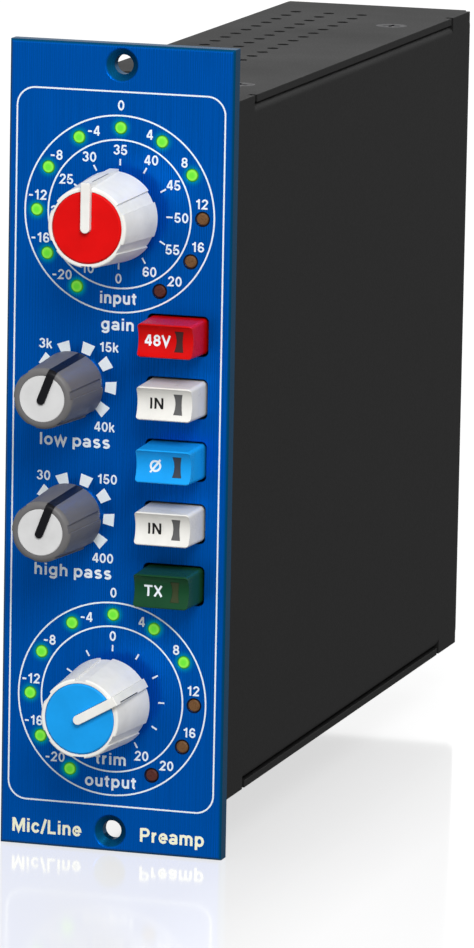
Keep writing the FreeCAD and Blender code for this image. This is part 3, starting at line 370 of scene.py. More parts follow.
def circuit_board():
    """Green solder mask over copper tracks that run at right angles."""
    paint = Paint("circuit_board")
    tracks = paint.node("ShaderNodeTexBrick", {"offset": 0.37, "squash": 0.6, "squash_frequency": 3},
                        {"Vector": paint.node("ShaderNodeMapping", {}, {
                            "Vector": paint.place, "Rotation": (math.radians(90), 0, math.radians(90))}),
                         "Scale": 160.0, "Mortar Size": 0.028, "Mortar Smooth": 0.15,
                         "Brick Width": 1.1, "Row Height": 0.42}, out=1)
    weave = paint.noise(0.3 * MM, 2.0)
    mask = paint.mix(paint.spread(weave, 0.3, 0.7), (0.004, 0.055, 0.018), (0.007, 0.075, 0.026))
    tone = paint.mix(tracks * 0.8, mask, (0.02, 0.15, 0.05))
    rough = paint.spread(weave, 0.3, 0.7, 0.28, 0.4)
    return paint.surface(Base_Color=tone, Roughness=rough, Normal=paint.bump(tracks, 0.03 * MM, 0.6))


def lit_lamp():
    """A green lamp that is on: bright in the middle, paler towards a deep green rim."""
    paint = Paint("lamp_green_lit")
    glow = finish_settings().lit
    frost = paint.noise(0.2 * MM, 2.0)
    distance = lamp_field(paint)[0] + (frost - 0.5) * (0.1 * LAMP_RADIUS)
    core = paint.mix(paint.spread(distance, 0.35 * LAMP_RADIUS, 0.7 * LAMP_RADIUS), glow,
                     (glow[0] * 1.7, glow[1] * 1.12, glow[2] * 1.8))
    tone = paint.mix(paint.spread(distance, 0.8 * LAMP_RADIUS, 0.98 * LAMP_RADIUS), core, shade(glow, 0.4))
    return paint.surface(Base_Color=tone, Roughness=paint.spread(frost, 0.3, 0.7, 0.25, 0.4),
                         Specular_IOR_Level=0.2, Emission_Color=tone, Emission_Strength=0.55)


def dark_lamp(name, colour):
    """A tinted lamp that is off."""
    paint = Paint(name)
    frost = paint.noise(0.25 * MM, 2.0)
    tone = paint.mix(paint.spread(frost, 0.3, 0.7), shade(colour, 0.8), shade(colour, 1.15))
    return paint.surface(Base_Color=tone, Roughness=paint.spread(frost, 0.3, 0.7, 0.22, 0.4),
                         Normal=paint.bump(frost, 0.01 * MM, 0.4), Specular_IOR_Level=0.3)


def printed(name, colour):
    """Screen-printed ink with a faint mesh texture."""
    paint = Paint(name)
    mesh = paint.noise(0.09 * MM, 2.0)
    tone = paint.mix(paint.spread(mesh, 0.3, 0.7), shade(colour, 0.93), colour)
    return paint.surface(Base_Color=tone, Roughness=paint.spread(mesh, 0.3, 0.7, 0.42, 0.6),
                         Normal=paint.bump(mesh, 0.003 * MM, 0.5), Specular_IOR_Level=0.1)


def dress(material, *nodes):
    """Gives CAD nodes a material through their objects' slots."""
    for name in nodes:
        for slot in frame["nodes"][name].material_slots:
            slot.link = "OBJECT"
            slot.material = material


# ------------------------------------------------------------------ printing tools
def bow(x, y, across, up, start, end, steps=12):
    """Points along an oval; angles in degrees, clockwise from straight up."""
    turns = [math.radians(start + (end - start) * i / steps) for i in range(steps + 1)]
    return [(x + across * math.sin(a), y + up * math.cos(a)) for a in turns]


def oval(x, y, across, up):
    return bow(x, y, across, up, 0, 360, 28)


def stem(x, top=1.0, foot=0.0):
    return [(x, foot), (x, top)]


def arch(x):
    """The shoulder and right leg of n, m and h."""
    return bow(x, 0.46, 0.18, 0.205, -90, 90) + [(x + 0.18, 0.0)]


BAND = 0.2 * MM
STROKE = 0.17
WORD_STROKE = 0.19
LETTER_GAP = 0.10
# Each letter's width and the middles of its strokes, where capitals are 1 high
LETTERS = {
    "0": (0.60, [oval(0.30, 0.50, 0.22, 0.42)]),
    "1": (0.46, [stem(0.31), [(0.05, 0.74), (0.16, 0.76), (0.25, 0.84)]]),
    "2": (0.60, [bow(0.30, 0.70, 0.21, 0.225, -90, 110) + [(0.085, 0.078), (0.55, 0.078)]]),
    "3": (0.60, [bow(0.29, 0.72, 0.195, 0.205, -80, 180), bow(0.29, 0.295, 0.22, 0.22, 0, 265)]),
    "4": (0.60, [stem(0.43), [(0.37, 0.95), (0.07, 0.31)], [(0.01, 0.27), (0.59, 0.27)]]),
    "5": (0.60, [[(0.51, 0.922), (0.15, 0.922), (0.10, 0.47)] + bow(0.285, 0.31, 0.225, 0.235, -45, 260)]),
    "6": (0.60, [oval(0.305, 0.295, 0.215, 0.218), bow(0.31, 0.50, 0.225, 0.422, 60, -95)]),
    "8": (0.60, [oval(0.30, 0.725, 0.185, 0.198), oval(0.30, 0.293, 0.217, 0.217)]),
    "\u2212": (0.42, [[(0.0, 0.42), (0.36, 0.42)]]),
    "/": (0.32, [[(0.02, -0.05), (0.30, 1.03)]]),
    " ": (0.18, []),
    "I": (0.30, [stem(0.15)]),
    "L": (0.58, [[(0.10, 1.0), (0.10, 0.078), (0.56, 0.078)]]),
    "M": (0.88, [stem(0.10), [(0.14, 0.96), (0.44, 0.10), (0.74, 0.96)], stem(0.78)]),
    "N": (0.76, [stem(0.10), [(0.13, 0.95), (0.63, 0.05)], stem(0.66)]),
    "P": (0.68, [stem(0.10), [(0.16, 0.922), (0.36, 0.922)] + bow(0.38, 0.69, 0.20, 0.232, 0, 180)
                 + [(0.16, 0.458)]]),
    "T": (0.68, [stem(0.34, 0.85), [(0.0, 0.922), (0.68, 0.922)]]),
    "V": (0.70, [[(0.04, 1.0), (0.35, 0.08), (0.66, 1.0)]]),
    "X": (0.72, [[(0.07, 0.0), (0.65, 1.0)], [(0.07, 1.0), (0.65, 0.0)]]),
    "a": (0.58, [bow(0.27, 0.48, 0.20, 0.185, -70, 90) + [(0.47, 0.12), (0.53, 0.06)],
                 oval(0.26, 0.22, 0.19, 0.145)]),
    "c": (0.56, [bow(0.29, 0.37, 0.21, 0.295, 60, -240)]),
    "e": (0.60, [[(0.12, 0.37)] + bow(0.30, 0.37, 0.215, 0.295, 90, -235)]),
    "g": (0.62, [oval(0.29, 0.38, 0.21, 0.285), [(0.50, 0.74)] + bow(0.29, -0.03, 0.21, 0.16, 90, 255)]),
    "h": (0.58, [stem(0.10), arch(0.29)]),
    "i": (0.22, [stem(0.11, 0.74), stem(0.11, 1.0, 0.86)]),
    "k": (0.54, [stem(0.09), [(0.47, 0.72), (0.15, 0.34)], [(0.24, 0.45), (0.50, 0.0)]]),
    "l": (0.22, [stem(0.11)]),
    "m": (0.92, [stem(0.10, 0.74), arch(0.28), arch(0.62)]),
    "n": (0.58, [stem(0.10, 0.74), arch(0.29)]),
    "o": (0.60, [oval(0.30, 0.37, 0.22, 0.295)]),
    "p": (0.62, [stem(0.10, 0.74, -0.26), oval(0.32, 0.37, 0.215, 0.295)]),
    "r": (0.38, [stem(0.10, 0.74), bow(0.32, 0.42, 0.20, 0.245, -85, 0)]),
    "s": (0.54, [bow(0.27, 0.53, 0.17, 0.14, 65, -180) + bow(0.27, 0.222, 0.185, 0.148, 0, 245)]),
    "t": (0.36, [[(0.16, 0.92)] + bow(0.29, 0.20, 0.13, 0.125, -90, -175), [(0.0, 0.67), (0.34, 0.67)]]),
    "u": (0.58, [[(0.11, 0.74)] + bow(0.285, 0.27, 0.175, 0.195, -90, -270), stem(0.47, 0.74)]),
    "w": (0.84, [[(0.04, 0.74), (0.23, 0.07), (0.42, 0.70), (0.61, 0.07), (0.80, 0.74)]]),
}


class Stencil:
    """Flat ink shapes on a plane, x to the right and y up, thickened into one piece."""

    def __init__(self):
        self.flat = bmesh.new()

    def area(self, points):
        corners = [self.flat.verts.new((x, y, 0.0)) for x, y in points]
        self.flat.faces.new(corners)

    def line(self, points, width, closed=False, lift=0.0):
        """A line of even width through points, with mitred corners."""
        points = [Vector(p) for p in points]
        count = len(points)
        left, right = [], []
        for i, here in enumerate(points):
            before = points[i - 1] if closed or i else None
            after = points[(i + 1) % count] if closed or i < count - 1 else None
            arrive = (here - before).normalized() if before is not None else None
            leave = (after - here).normalized() if after is not None else None
            along = (arrive or leave) + (leave or arrive)
            side = Vector((-along.y, along.x)).normalized()
            flow = leave or arrive
            reach = width / 2 / max(0.3, side.dot(Vector((-flow.y, flow.x))))
            left.append(self.flat.verts.new((*(here + side * reach), lift)))
            right.append(self.flat.verts.new((*(here - side * reach), lift)))
        for i in range(count if closed else count - 1):
            j = (i + 1) % count
            self.flat.faces.new((right[i], right[j], left[j], left[i]))

    def ring(self, centre, radius, width, steps=144):
        self.line(arc_points(centre, radius, 0, 360, steps)[:-1], width, closed=True)

    def text(self, body, height, centre, stretch=1.12, stroke=STROKE):
        """Plain upright letters of the given height, centred."""
        lap = print_settings().lap
        width = sum(LETTERS[letter][0] for letter in body) + LETTER_GAP * (len(body) - 1)
        x = -width / 2
        for letter in body:
            advance, strokes = LETTERS[letter]
            for layer, points in enumerate(strokes):
                closed = len(points) > 2 and math.dist(points[0], points[-1]) < STROKE / 10
                kept = points[:-1] if closed else points
                spots = [(centre[0] + (x + px) * height * stretch, centre[1] + (py - 0.5) * height)
                         for px, py in kept]
                self.line(spots, stroke * height, closed, layer * lap)
            x += advance + LETTER_GAP

    def piece(self, name, body, material, surface=None):
        """Thickens the shapes into a closed film on the panel's face, or on a curved surface."""
        work = self.flat
        if surface:
            slice_across(work, BAND)
        for face in work.faces:
            face.normal_update()
            if face.normal.z < 0:
                face.normal_flip()
        grown = bmesh.ops.extrude_face_region(work, geom=work.faces[:], use_keep_orig=True)["geom"]
        upper = {part for part in grown if isinstance(part, bmesh.types.BMVert)}
        film = print_settings().ink
        for vert in work.verts:
            x, z, lift = vert.co
            base = surface(x, z) if surface else PANEL_FACE
            vert.co = (x, base + (-film - lift if vert in upper else film / 2), z)
        bmesh.ops.recalc_face_normals(work, faces=work.faces)
        return mesh_piece(name, work, body, material)


def mesh_piece(name, work, body, material):
    """Turns a finished bmesh into an object that rides on a body."""
    mesh = bpy.data.meshes.new(name)
    work.to_mesh(mesh)
    work.free()
    mesh.materials.append(material)
    made = bpy.data.objects.new(name, mesh)
    bpy.context.scene.collection.objects.link(made)
    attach(made, body)
    return made


def slice_across(work, step):
    """Cuts flat shapes into narrow bands so that they can follow a curved face."""
    heights = [vert.co.y for vert in work.verts]
    low, high = min(heights), max(heights)
    for i in range(1, math.ceil((high - low) / step)):
        bmesh.ops.bisect_plane(work, geom=work.verts[:] + work.edges[:] + work.faces[:],
                               plane_co=(0, low + i * step, 0), plane_no=(0, 1, 0))


def arc_points(centre, radius, start, end, steps=24):
    """Points along an arc; angles in degrees, clockwise from straight up."""
    turns = [math.radians(start + (end - start) * i / steps) for i in range(steps + 1)]
    return [(centre[0] + radius * math.sin(a), centre[1] + radius * math.cos(a)) for a in turns]


def polar(centre, radius, turn):
    """The point at an angle in degrees, clockwise from straight up."""
    angle = math.radians(turn)
    return centre[0] + radius * math.sin(angle), centre[1] + radius * math.cos(angle)


def turn_point(spot, turn):
    """A point turned clockwise about the origin, by degrees."""
    angle = math.radians(turn)
    x, y = spot
    return x * math.cos(angle) + y * math.sin(angle), y * math.cos(angle) - x * math.sin(angle)


# ------------------------------------------------------------------ places
def knob_centre(joint):
    place = JOINT_PLACE[joint]
    return place[0], place[2]


def node_centre(node):
    low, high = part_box(node)
    return (low + high) / 2


def face_of(node):
    """A function that gives the depth of a node's front surface at a point of its face."""
    target = frame["nodes"][node]
    tree = BVHTree.FromObject(target, bpy.context.evaluated_depsgraph_get())
    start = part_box(node)[0].y - MM
    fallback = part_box(node)[0].y

    def depth(x, z):
        hit = tree.ray_cast(Vector((x, start, z)), Vector((0, 1, 0)))[0]
        return hit.y if hit else fallback

    return depth


# ------------------------------------------------------------------ printed work
# Each level and the turn at which its number stands, in degrees clockwise from the top
LEVELS = ((-20, -137.2), (-16, -108.7), (-12, -80.1), (-8, -49.9), (-4, -18.7),
          (4, 20.4), (8, 50.3), (12, 80.1), (16, 108.9), (20, 137.4))
METERS = {"input": "gain_turn", "output": "trim_turn"}
GAIN_NUMBERS = ("0", "10", "15", "20", "25", "30", "35", "40", "45", "50", "55", "60")
MINUS = "\u2212"


def print_border(ink):
    """A thin rounded border round the whole control area."""
    sizes = print_settings()
    half_x = PANEL_HIGH.x - sizes.border_side
    half_z = PANEL_HIGH.z - sizes.border_end
    corner = sizes.border_corner
    points = []
    for turn, sx, sz in ((0, 1, 1), (90, 1, -1), (180, -1, -1), (270, -1, 1)):
        centre = (sx * (half_x - corner), sz * (half_z - corner))
        points += arc_points(centre, corner, turn, turn + 90, 12)
    stencil = Stencil()
    stencil.line(points, sizes.line, closed=True)
    stencil.piece("border_line", "module", ink)


def print_meter(name, centre, ink):
    """Two rings with the level numbers between them."""
    sizes = print_settings()
    rings = Stencil()
    rings.ring(centre, sizes.ring_outer, sizes.line)
    rings.ring(centre, sizes.ring_inner, sizes.line)
    rings.piece(name + "_meter_rings", "module", ink)
    numbers = Stencil()
    numbers.text("0", sizes.level_height, polar(centre, sizes.zero_radius, 0))
    for level, turn in LEVELS:
        body = MINUS + str(-level) if level < 0 else str(level)
        numbers.text(body, sizes.level_height, polar(centre, sizes.level_radius, turn))
    numbers.piece(name + "_level_numbers", "module", ink)


def print_ticks(name, centre, turns, ink):
    sizes = print_settings()
    ticks = Stencil()
    for turn in turns:
        inner = polar(centre, sizes.tick_radius - sizes.tick_length / 2, turn)
        outer = polar(centre, sizes.tick_radius + sizes.tick_length / 2, turn)
        ticks.line([inner, outer], sizes.tick_width)
    ticks.piece(name, "module", ink)


def print_gain_scale(ink):
    sizes = print_settings()
    centre = knob_centre("gain_turn")
    turns = [30 * i - 180 for i in range(len(GAIN_NUMBERS))]
    print_ticks("gain_ticks", centre, turns, ink)
    numbers = Stencil()
    for body, turn in zip(GAIN_NUMBERS, turns):
        numbers.text(body, sizes.scale_height, polar(centre, sizes.scale_radius, turn))
    numbers.piece("gain_numbers", "module", ink)


def print_trim_scale(ink):
    sizes = print_settings()
    centre = knob_centre("trim_turn")
    print_ticks("trim_ticks", centre, range(-150, 151, 30), ink)
    numbers = Stencil()
    for body, turn in ((MINUS + "20", -150), ("0", 0), ("20", 150)):
        numbers.text(body, sizes.scale_height, polar(centre, sizes.scale_radius, turn))
    numbers.piece("trim_numbers", "module", ink)


# Each filter's numbers and where their middles stand from the knob's axis, in millimetres
FILTERS = {
    "low_pass": (("3k", -5.23, 6.24), ("15k", 5.63, 6.25), ("40k", 5.05, -6.92)),
    "high_pass": (("30", -5.27, 6.23), ("150", 5.67, 6.26), ("400", 5.11, -6.86)),
}
BLOCK_COUNT = 8
BLOCK_STEP = 37.5


def print_filter_scale(name, ink):
    """Eight tapered blocks round the knob and three numbers."""
    sizes = print_settings()
    centre = knob_centre(name + "_turn")
    blocks = Stencil()
    for i in range(BLOCK_COUNT):
        turn = (i - (BLOCK_COUNT - 1) / 2) * BLOCK_STEP
        outline = ((-sizes.block_foot / 2, sizes.block_inner), (sizes.block_foot / 2, sizes.block_inner),
                   (sizes.block_width / 2, sizes.block_outer), (-sizes.block_width / 2, sizes.block_outer))
        blocks.area([(centre[0] + x, centre[1] + y) for x, y in (turn_point(p, turn) for p in outline)])
    blocks.piece(name + "_scale_blocks", "module", ink)
    numbers = Stencil()
    for body, x, z in FILTERS[name]:
        numbers.text(body, sizes.filter_height, (centre[0] + x * MM, centre[1] + z * MM))
    numbers.piece(name + "_numbers", "module", ink)


# Each word, the knob it belongs to, its height from that knob's axis in millimetres, and its stretch
WORDS = (("input", "gain_turn", -13.70, 1.15), ("gain", "gain_turn", -18.04, 1.24),
         ("low pass", "low_pass_turn", -9.50, 1.27), ("high pass", "high_pass_turn", -9.33, 1.28),
         ("trim", "trim_turn", -10.02, 1.24), ("output", "trim_turn", -13.78, 1.24))
# The words at the panel's foot and where their middles stand, in millimetres
FOOT_WORDS = (("Mic/Line", -10.9), ("Preamp", 10.7))
FOOT_RISE = 3.25 * MM


def print_words(ink, cream):
    """Names each control in general terms."""
    sizes = print_settings()
    words = Stencil()
    for body, joint, z, stretch in WORDS:
        centre = knob_centre(joint)
        words.text(body, sizes.word_height, (centre[0], centre[1] + z * MM), stretch, WORD_STROKE)
    words.piece("control_words", "module", ink)
    foot = Stencil()
    for body, x in FOOT_WORDS:
        foot.text(body, sizes.foot_height, (x * MM, PANEL_LOW.z + FOOT_RISE), stroke=WORD_STROKE)
    foot.piece("foot_words", "module", cream)


UNLIT_TURNS = (90, 120, 150)
# Painted shade: a black ring round each unlit lamp stands in for the dark gap in its hole
HOLE_SHADE_RADIUS = 1.18 * LAMP_RADIUS
HOLE_SHADE_WIDTH = 0.15 * LAMP_RADIUS
HOLE_SHADE_STEPS = 40


def print_lamp_rims(ink):
    """A black ring painted round each unlit lamp, as painted shade of the dark gap in its hole."""
    shade_rings = Stencil()
    for joint in METERS.values():
        for turn in UNLIT_TURNS:
            shade_rings.ring(polar(knob_centre(joint), LAMP_RING, turn), HOLE_SHADE_RADIUS, HOLE_SHADE_WIDTH, HOLE_SHADE_STEPS)
    shade_rings.piece("lamp_hole_shade", "module", ink)


LEGENDS = {1: "48V", 2: "IN", 4: "IN", 5: "TX"}
SIGN_RADIUS = 0.80 * MM
SIGN_SLASH = (0.85 * MM, 1.05 * MM)


def draw_legend(number, stencil, centre, height):
    """The legend on one button."""
    x, z = centre
    if number in LEGENDS:
        stencil.text(LEGENDS[number], height, centre, 1.15, WORD_STROKE)
    else:
        width = WORD_STROKE * height
        stencil.ring(centre, SIGN_RADIUS, width, 48)
        slash = [(x - SIGN_SLASH[0], z - SIGN_SLASH[1]), (x + SIGN_SLASH[0], z + SIGN_SLASH[1])]
        stencil.line(slash, width, lift=print_settings().lap)


TRIM_REST = 60.3
# Place and size of the dark strip painted as the shadow line beside each large knob's pointer rib
RIB_SHADOW_X = (0.50 * MM, 0.56 * MM)
RIB_SHADOW_Y = (-19.3 * MM, -11.2 * MM)
RIB_SHADOW_OUT = (7.367 * MM, 7.658 * MM)
RIB_SHADOW_WIDTH = 0.16 * MM
RIB_SHADOW_LIFT = 0.02 * MM


def mark_seam(name, joint, rest, material):
    """A painted shadow line: a dark strip along the clockwise side of a large knob's pointer rib, where the
    rib shades the body.
    """
    x, z = knob_centre(joint)
    work = bmesh.new()
    rows = []
    for place, y, out in zip(RIB_SHADOW_X, RIB_SHADOW_Y, RIB_SHADOW_OUT):
        corners = [(place + side, out + lift) for side, lift in (
            (0.0, -RIB_SHADOW_LIFT), (RIB_SHADOW_WIDTH, -RIB_SHADOW_LIFT), (RIB_SHADOW_WIDTH, RIB_SHADOW_LIFT), (0.0, RIB_SHADOW_LIFT))]
        turned = [turn_point(corner, rest) for corner in corners]
        rows.append([work.verts.new((x + px, y, z + pz)) for px, pz in turned])
    front, back = rows
    work.faces.new(front)
    work.faces.new(back[::-1])
    for i in range(4):
        j = (i + 1) % 4
        work.faces.new((front[i], front[j], back[j], back[i]))
    bmesh.ops.recalc_face_normals(work, faces=work.faces)
    mesh_piece(name + "_knob_seam", work, name + "_control", material)


# ------------------------------------------------------------------ operators
class PREAMP_OT_finish_case(bpy.types.Operator):
    """Gives the panel, the case and their fixings their finishes"""

    bl_idname = "preamp.finish_case"
    bl_label = "Finish the case"

    def execute(self, context):
        dress(anodised_panel(), "front_panel")
        dress(powder_coat(), "chassis_wrap", "side_cover")
        dress(turned_metal("blackened_steel", (0.05, 0.05, 0.055), 0.4), "cover_screws")
        dress(turned_metal("zinc_steel", (0.52, 0.53, 0.55), 0.3), "panel_studs", "panel_nuts",
              "board_standoffs", "board_screws", "bushing_washers", "bushing_nuts")
        return {"FINISHED"}


class PREAMP_OT_finish_boards(bpy.types.Operator):
    """Gives the circuit boards and what stands on them their finishes"""

    bl_idname = "preamp.finish_boards"
    bl_label = "Finish the boards"

    def execute(self, context):
        dress(circuit_board(), "main_board", "control_board")
        dress(turned_metal("gold_plate", (0.83, 0.58, 0.20), 0.22), "edge_contacts")
        dress(moulded("black_plastic", (0.018, 0.018, 0.018), 0.45), "board_socket", "board_header",
              "op_amps", "lamp_spacers")
        dress(turned_metal("screening_can", (0.60, 0.60, 0.58), 0.34), "input_transformer")
        dress(moulded("relay_shell", (0.75, 0.75, 0.72), 0.4), "relays")
        dress(moulded("capacitor_sleeve", (0.012, 0.013, 0.016), 0.25), "electrolytic_capacitors")
        dress(moulded("film_box", (0.03, 0.10, 0.42), 0.3), "film_capacitors")
        dress(turned_metal("switch_metal", (0.55, 0.55, 0.53), 0.36), "gain_switch_body", "trim_pot_body",
              "filter_pot_bodies", "gain_shaft", "trim_shaft", "low_pass_shaft", "high_pass_shaft")
        dress(moulded("switch_plastic", (0.03, 0.03, 0.032), 0.4), "push_switch_bodies")
        dress(turned_metal("brass", (0.72, 0.50, 0.22), 0.28), "gain_collet", "trim_collet")
        return {"FINISHED"}


class PREAMP_OT_finish_lamps(bpy.types.Operator):
    """Lights the green lamps and leaves the amber and red ones dark"""

    bl_idname = "preamp.finish_lamps"
    bl_label = "Finish the lamps"

    def execute(self, context):
        dress(lit_lamp(), "green_lamps")
        dress(dark_lamp("lamp_amber_dark", (0.16, 0.075, 0.027)), "amber_lamps")
        dress(dark_lamp("lamp_red_dark", (0.09, 0.022, 0.016)), "red_lamps")
        return {"FINISHED"}


class PREAMP_OT_finish_knobs(bpy.types.Operator):
    """Gives the four knobs their finishes"""

    bl_idname = "preamp.finish_knobs"
    bl_label = "Finish the knobs"

    def execute(self, context):
        tones = finish_settings()
        dress(moulded("knob_white", tones.knob_white, 0.3), "gain_knob", "trim_knob")
        # Painted shadow: a dark strip along the clockwise side of each large knob's pointer rib
        rib_shadow = moulded("painted_rib_shadow", (0.006, 0.006, 0.006))
        mark_seam("gain", "gain_turn", 0.0, rib_shadow)
        mark_seam("trim", "trim_turn", TRIM_REST, rib_shadow)
        dress(moulded("knob_grey", tones.knob_grey, 0.38), "low_pass_knob", "high_pass_knob")
        dress(moulded("cap_red", tones.red, 0.3, shine=LOW_SHINE), "gain_knob_cap")
        dress(moulded("cap_sky", tones.sky, 0.3, shine=LOW_SHINE), "trim_knob_cap")
        dress(moulded("cap_white", (0.68, 0.68, 0.68), 0.28), "low_pass_knob_cap", "high_pass_knob_cap")
        pointer = moulded("pointer_black", (0.009, 0.009, 0.011), 0.3, shine=LOW_SHINE)
        dress(pointer, "low_pass_pointer", "high_pass_pointer")
        return {"FINISHED"}


# The colour of each button's window, from the top button down
WINDOW_TONES = ((0.060, 0.024, 0.024), (0.115, 0.115, 0.117), (0.052, 0.060, 0.080), (0.115, 0.115, 0.117),
                (0.040, 0.054, 0.024))


class PREAMP_OT_finish_buttons(bpy.types.Operator):
    """Gives the push buttons, their windows and their stems their finishes"""

    bl_idname = "preamp.finish_buttons"
    bl_label = "Finish the buttons"

    def execute(self, context):
        tones = finish_settings()
        white = moulded("button_white", (0.79, 0.78, 0.74), 0.28)
        red = moulded("button_red", shade(tones.red, 0.85), 0.26, shine=LOW_SHINE)
        sky = moulded("button_sky", tones.sky, 0.28, shine=LOW_SHINE)
        green = moulded("button_green", tones.green, 0.28, shine=LOW_SHINE)
        caps = (red, white, sky, white, green)
        windows = [moulded("window_%d" % number, tone, 0.2, shine=LOW_SHINE)
                   for number, tone in zip(BUTTON_NUMBERS, WINDOW_TONES)]
        stem = moulded("stem_white", (0.7, 0.7, 0.68), 0.4)
        for number, cap, window in zip(BUTTON_NUMBERS, caps, windows):
            dress(cap, "button_%d_cap" % number)
            dress(window, "button_%d_lens" % number)
            dress(stem, "button_%d_stem" % number)
        return {"FINISHED"}


class PREAMP_OT_print_panel(bpy.types.Operator):
    """Prints the border, the meters, the scales and the words, and paints black shade rings round the unlit
    lamps on the panel
    """

    bl_idname = "preamp.print_panel"
    bl_label = "Print the panel"

    def execute(self, context):
        ink = printed("ink_white", finish_settings().ink)
        print_border(ink)
        for name, joint in METERS.items():
            print_meter(name, knob_centre(joint), ink)
        print_gain_scale(ink)
        print_trim_scale(ink)
        for name in FILTERS:
            print_filter_scale(name, ink)
        print_words(ink, printed("ink_cream", finish_settings().cream))
        # Black rings of painted shade round the unlit lamps
        print_lamp_rims(printed("painted_hole_shade", (0.004, 0.004, 0.004)))
        return {"FINISHED"}


class PREAMP_OT_print_buttons(bpy.types.Operator):
    """Prints the legends into the hollow faces of the buttons"""

    bl_idname = "preamp.print_buttons"
    bl_label = "Print the buttons"

    def execute(self, context):
        sizes = print_settings()
        white = printed("legend_white", finish_settings().ink)
        black = printed("legend_black", (0.012, 0.012, 0.012))
        for number in BUTTON_NUMBERS:
            cap = "button_%d_cap" % number
            middle = node_centre(cap)
            stencil = Stencil()
            draw_legend(number, stencil, (middle.x - sizes.legend_shift, middle.z), sizes.legend_height)
            dark = number in (2, 4)
            stencil.piece("button_%d_legend" % number, "button_%d" % number,
                          black if dark else white,
                          surface=face_of(cap))
        return {"FINISHED"}


KEY_PLACE = (0.41, -0.88, 0.72)
KEY_SIZE = 0.5
SENSOR_WIDTH = 36.0
VIEW_LIMIT = 20.0
FLOOR_RADIUS = 6.0
BACKDROP_RADIUS = 9.0
# Reach beyond the object's right side over which the floor's painted light rises
PAINTED_FLOOR_LIGHT_REACH = 30 * MM
# Where the room's light changes, as parts of its radius, and how much stronger it is behind the object
HORIZON = (-0.12, 0.15)
BEHIND = (0.3, 0.9)
BEHIND_LOWER = 0.55
BEHIND_UPPER = 1.15


class PREAMP_OT_set_stage(bpy.types.Operator):
    """Sets up the pale floor, the room, the lights and the camera"""

    bl_idname = "preamp.set_stage"
    bl_label = "Set the stage"

    def execute(self, context):
        stage = context.scene.preamp_stage
        make_floor()
        make_backdrop()
        make_room(stage.ground, stage.sky)
        make_light("key_light", KEY_PLACE, (0.0, 0.0, 0.0), KEY_SIZE, stage.key)
        camera = bpy.data.objects.new("camera", bpy.data.cameras.new("camera"))
        context.scene.collection.objects.link(camera)
        camera.location = stage.camera_place
        camera.rotation_euler = stage.camera_turn
        camera.data.lens = stage.lens
        camera.data.sensor_width = SENSOR_WIDTH
        camera.data.clip_end = VIEW_LIMIT
        context.scene.camera = camera
        context.scene.view_settings.view_transform = "Standard"
        return {"FINISHED"}


def stage_piece(name, work, material):
    """Adds a part of the studio that only the camera sees, so that it doesn't light the object."""
    mesh = bpy.data.meshes.new(name)
    work.to_mesh(mesh)
    work.free()
    mesh.materials.append(material)
    made = bpy.data.objects.new(name, mesh)
    made.visible_diffuse = False
    made.visible_glossy = False
    made.visible_shadow = False
    bpy.context.scene.collection.objects.link(made)
    return made


def make_floor():
    """A pale, polished floor under the panel's lower edge, with painted light: it glows brighter beside the
    object and is painted darker close to it.
    """
    paint = Paint("pale_floor")
    haze = paint.noise(0.15, 2.0)
    tone = paint.mix(paint.spread(haze, 0.3, 0.7), (0.20, 0.20, 0.205), (0.22, 0.22, 0.22))
    # Painted light and shade: the floor's glow rises beyond the object's right side and stays lower close to
    # the object
    clear = paint.spread(paint.along("X"), cad_box[1].x, cad_box[1].x + PAINTED_FLOOR_LIGHT_REACH)
    glow = paint.mix(clear, (0.66, 0.66, 0.66), (0.80, 0.80, 0.80))
    material = paint.surface(Base_Color=tone, Roughness=paint.spread(haze, 0.3, 0.7, 0.07, 0.1),
                             Specular_IOR_Level=0.5, Emission_Color=glow, Emission_Strength=1.0)
    work = bmesh.new()
    bmesh.ops.create_circle(work, cap_ends=True, segments=64, radius=FLOOR_RADIUS)
    stage_piece("floor", work, material).location.z = cad_box[0].z


def make_backdrop():
    """A white shell all round, far outside the floor."""
    paint = Paint("white_backdrop")
    material = paint.surface(Base_Color=(0.0, 0.0, 0.0), Specular_IOR_Level=0.0,
                             Emission_Color=(1.0, 1.0, 1.0), Emission_Strength=1.0)
    work = bmesh.new()
    bmesh.ops.create_icosphere(work, subdivisions=3, radius=BACKDROP_RADIUS)
    stage_piece("backdrop", work, material)


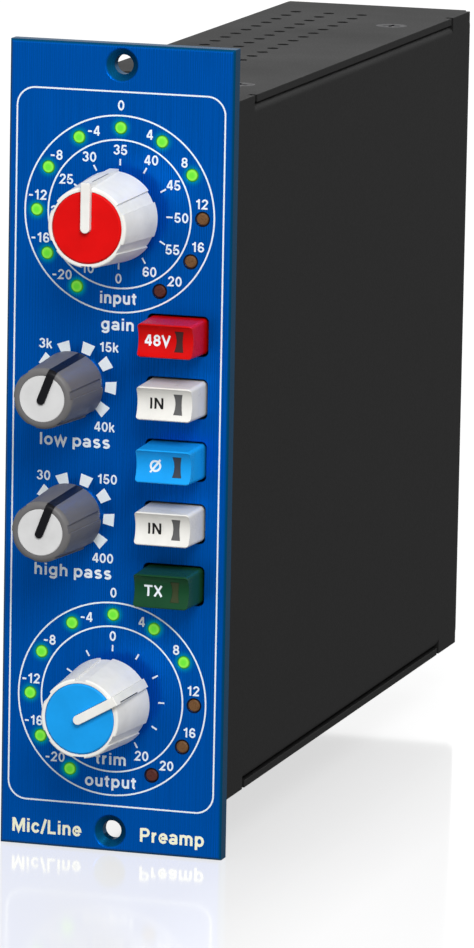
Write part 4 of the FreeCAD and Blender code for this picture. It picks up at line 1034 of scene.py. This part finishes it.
def make_room(low, high):
    """Soft light from all round, stronger from above, with the most contrast behind the object."""
    world = bpy.data.worlds.new("pale_room")
    paint = Paint("pale_room", world, "Generated")
    rise = paint.spread(paint.along("Z"), *HORIZON)
    behind = paint.spread(paint.along("Y"), *BEHIND)
    lower = paint.mix(behind, (low, low, low), shade((low, low, low), BEHIND_LOWER))
    upper = paint.mix(behind, (high, high, high), shade((high, high, high), BEHIND_UPPER))
    tone = paint.mix(rise, lower, upper)
    light = paint.node("ShaderNodeBackground", {}, {"Color": tone})
    paint.node("ShaderNodeOutputWorld", {}, {"Surface": light})
    bpy.context.scene.world = world


def make_light(name, place, target, size, power):
    data = bpy.data.lights.new(name, "AREA")
    data.size = size
    data.energy = power
    light = bpy.data.objects.new(name, data)
    light.location = place
    direction = Vector(target) - Vector(place)
    light.rotation_euler = direction.to_track_quat("-Z", "Y").to_euler()
    bpy.context.scene.collection.objects.link(light)


class PREAMP_PT_panel(bpy.types.Panel):
    """Lists the preamp's steps and settings"""

    bl_label = "Rack microphone preamp"
    bl_idname = "PREAMP_PT_panel"
    bl_space_type = "VIEW_3D"
    bl_region_type = "UI"
    bl_category = "Preamp"

    def draw(self, context):
        layout = self.layout
        for operator in OPERATORS:
            layout.operator(operator.bl_idname)
        for settings in (context.scene.preamp_print, context.scene.preamp_finish, context.scene.preamp_stage):
            box = layout.box()
            for name in settings.bl_rna.properties.keys():
                if name not in ("rna_type", "name"):
                    box.prop(settings, name)


OPERATORS = (
    PREAMP_OT_finish_case,
    PREAMP_OT_finish_boards,
    PREAMP_OT_finish_lamps,
    PREAMP_OT_finish_knobs,
    PREAMP_OT_finish_buttons,
    PREAMP_OT_print_panel,
    PREAMP_OT_print_buttons,
    PREAMP_OT_set_stage,
)
CLASSES = (PreampPrintSettings, PreampFinishSettings, PreampStageSettings, *OPERATORS, PREAMP_PT_panel)


def register():
    for kind in CLASSES:
        bpy.utils.register_class(kind)
    bpy.types.Scene.preamp_print = PointerProperty(type=PreampPrintSettings)
    bpy.types.Scene.preamp_finish = PointerProperty(type=PreampFinishSettings)
    bpy.types.Scene.preamp_stage = PointerProperty(type=PreampStageSettings)


def unregister():
    del bpy.types.Scene.preamp_stage
    del bpy.types.Scene.preamp_finish
    del bpy.types.Scene.preamp_print
    for kind in reversed(CLASSES):
        bpy.utils.unregister_class(kind)


def main():
    register()
    for operator in OPERATORS:
        group, name = operator.bl_idname.split(".")
        getattr(getattr(bpy.ops, group), name)()


if __name__ == "__main__":
    main()
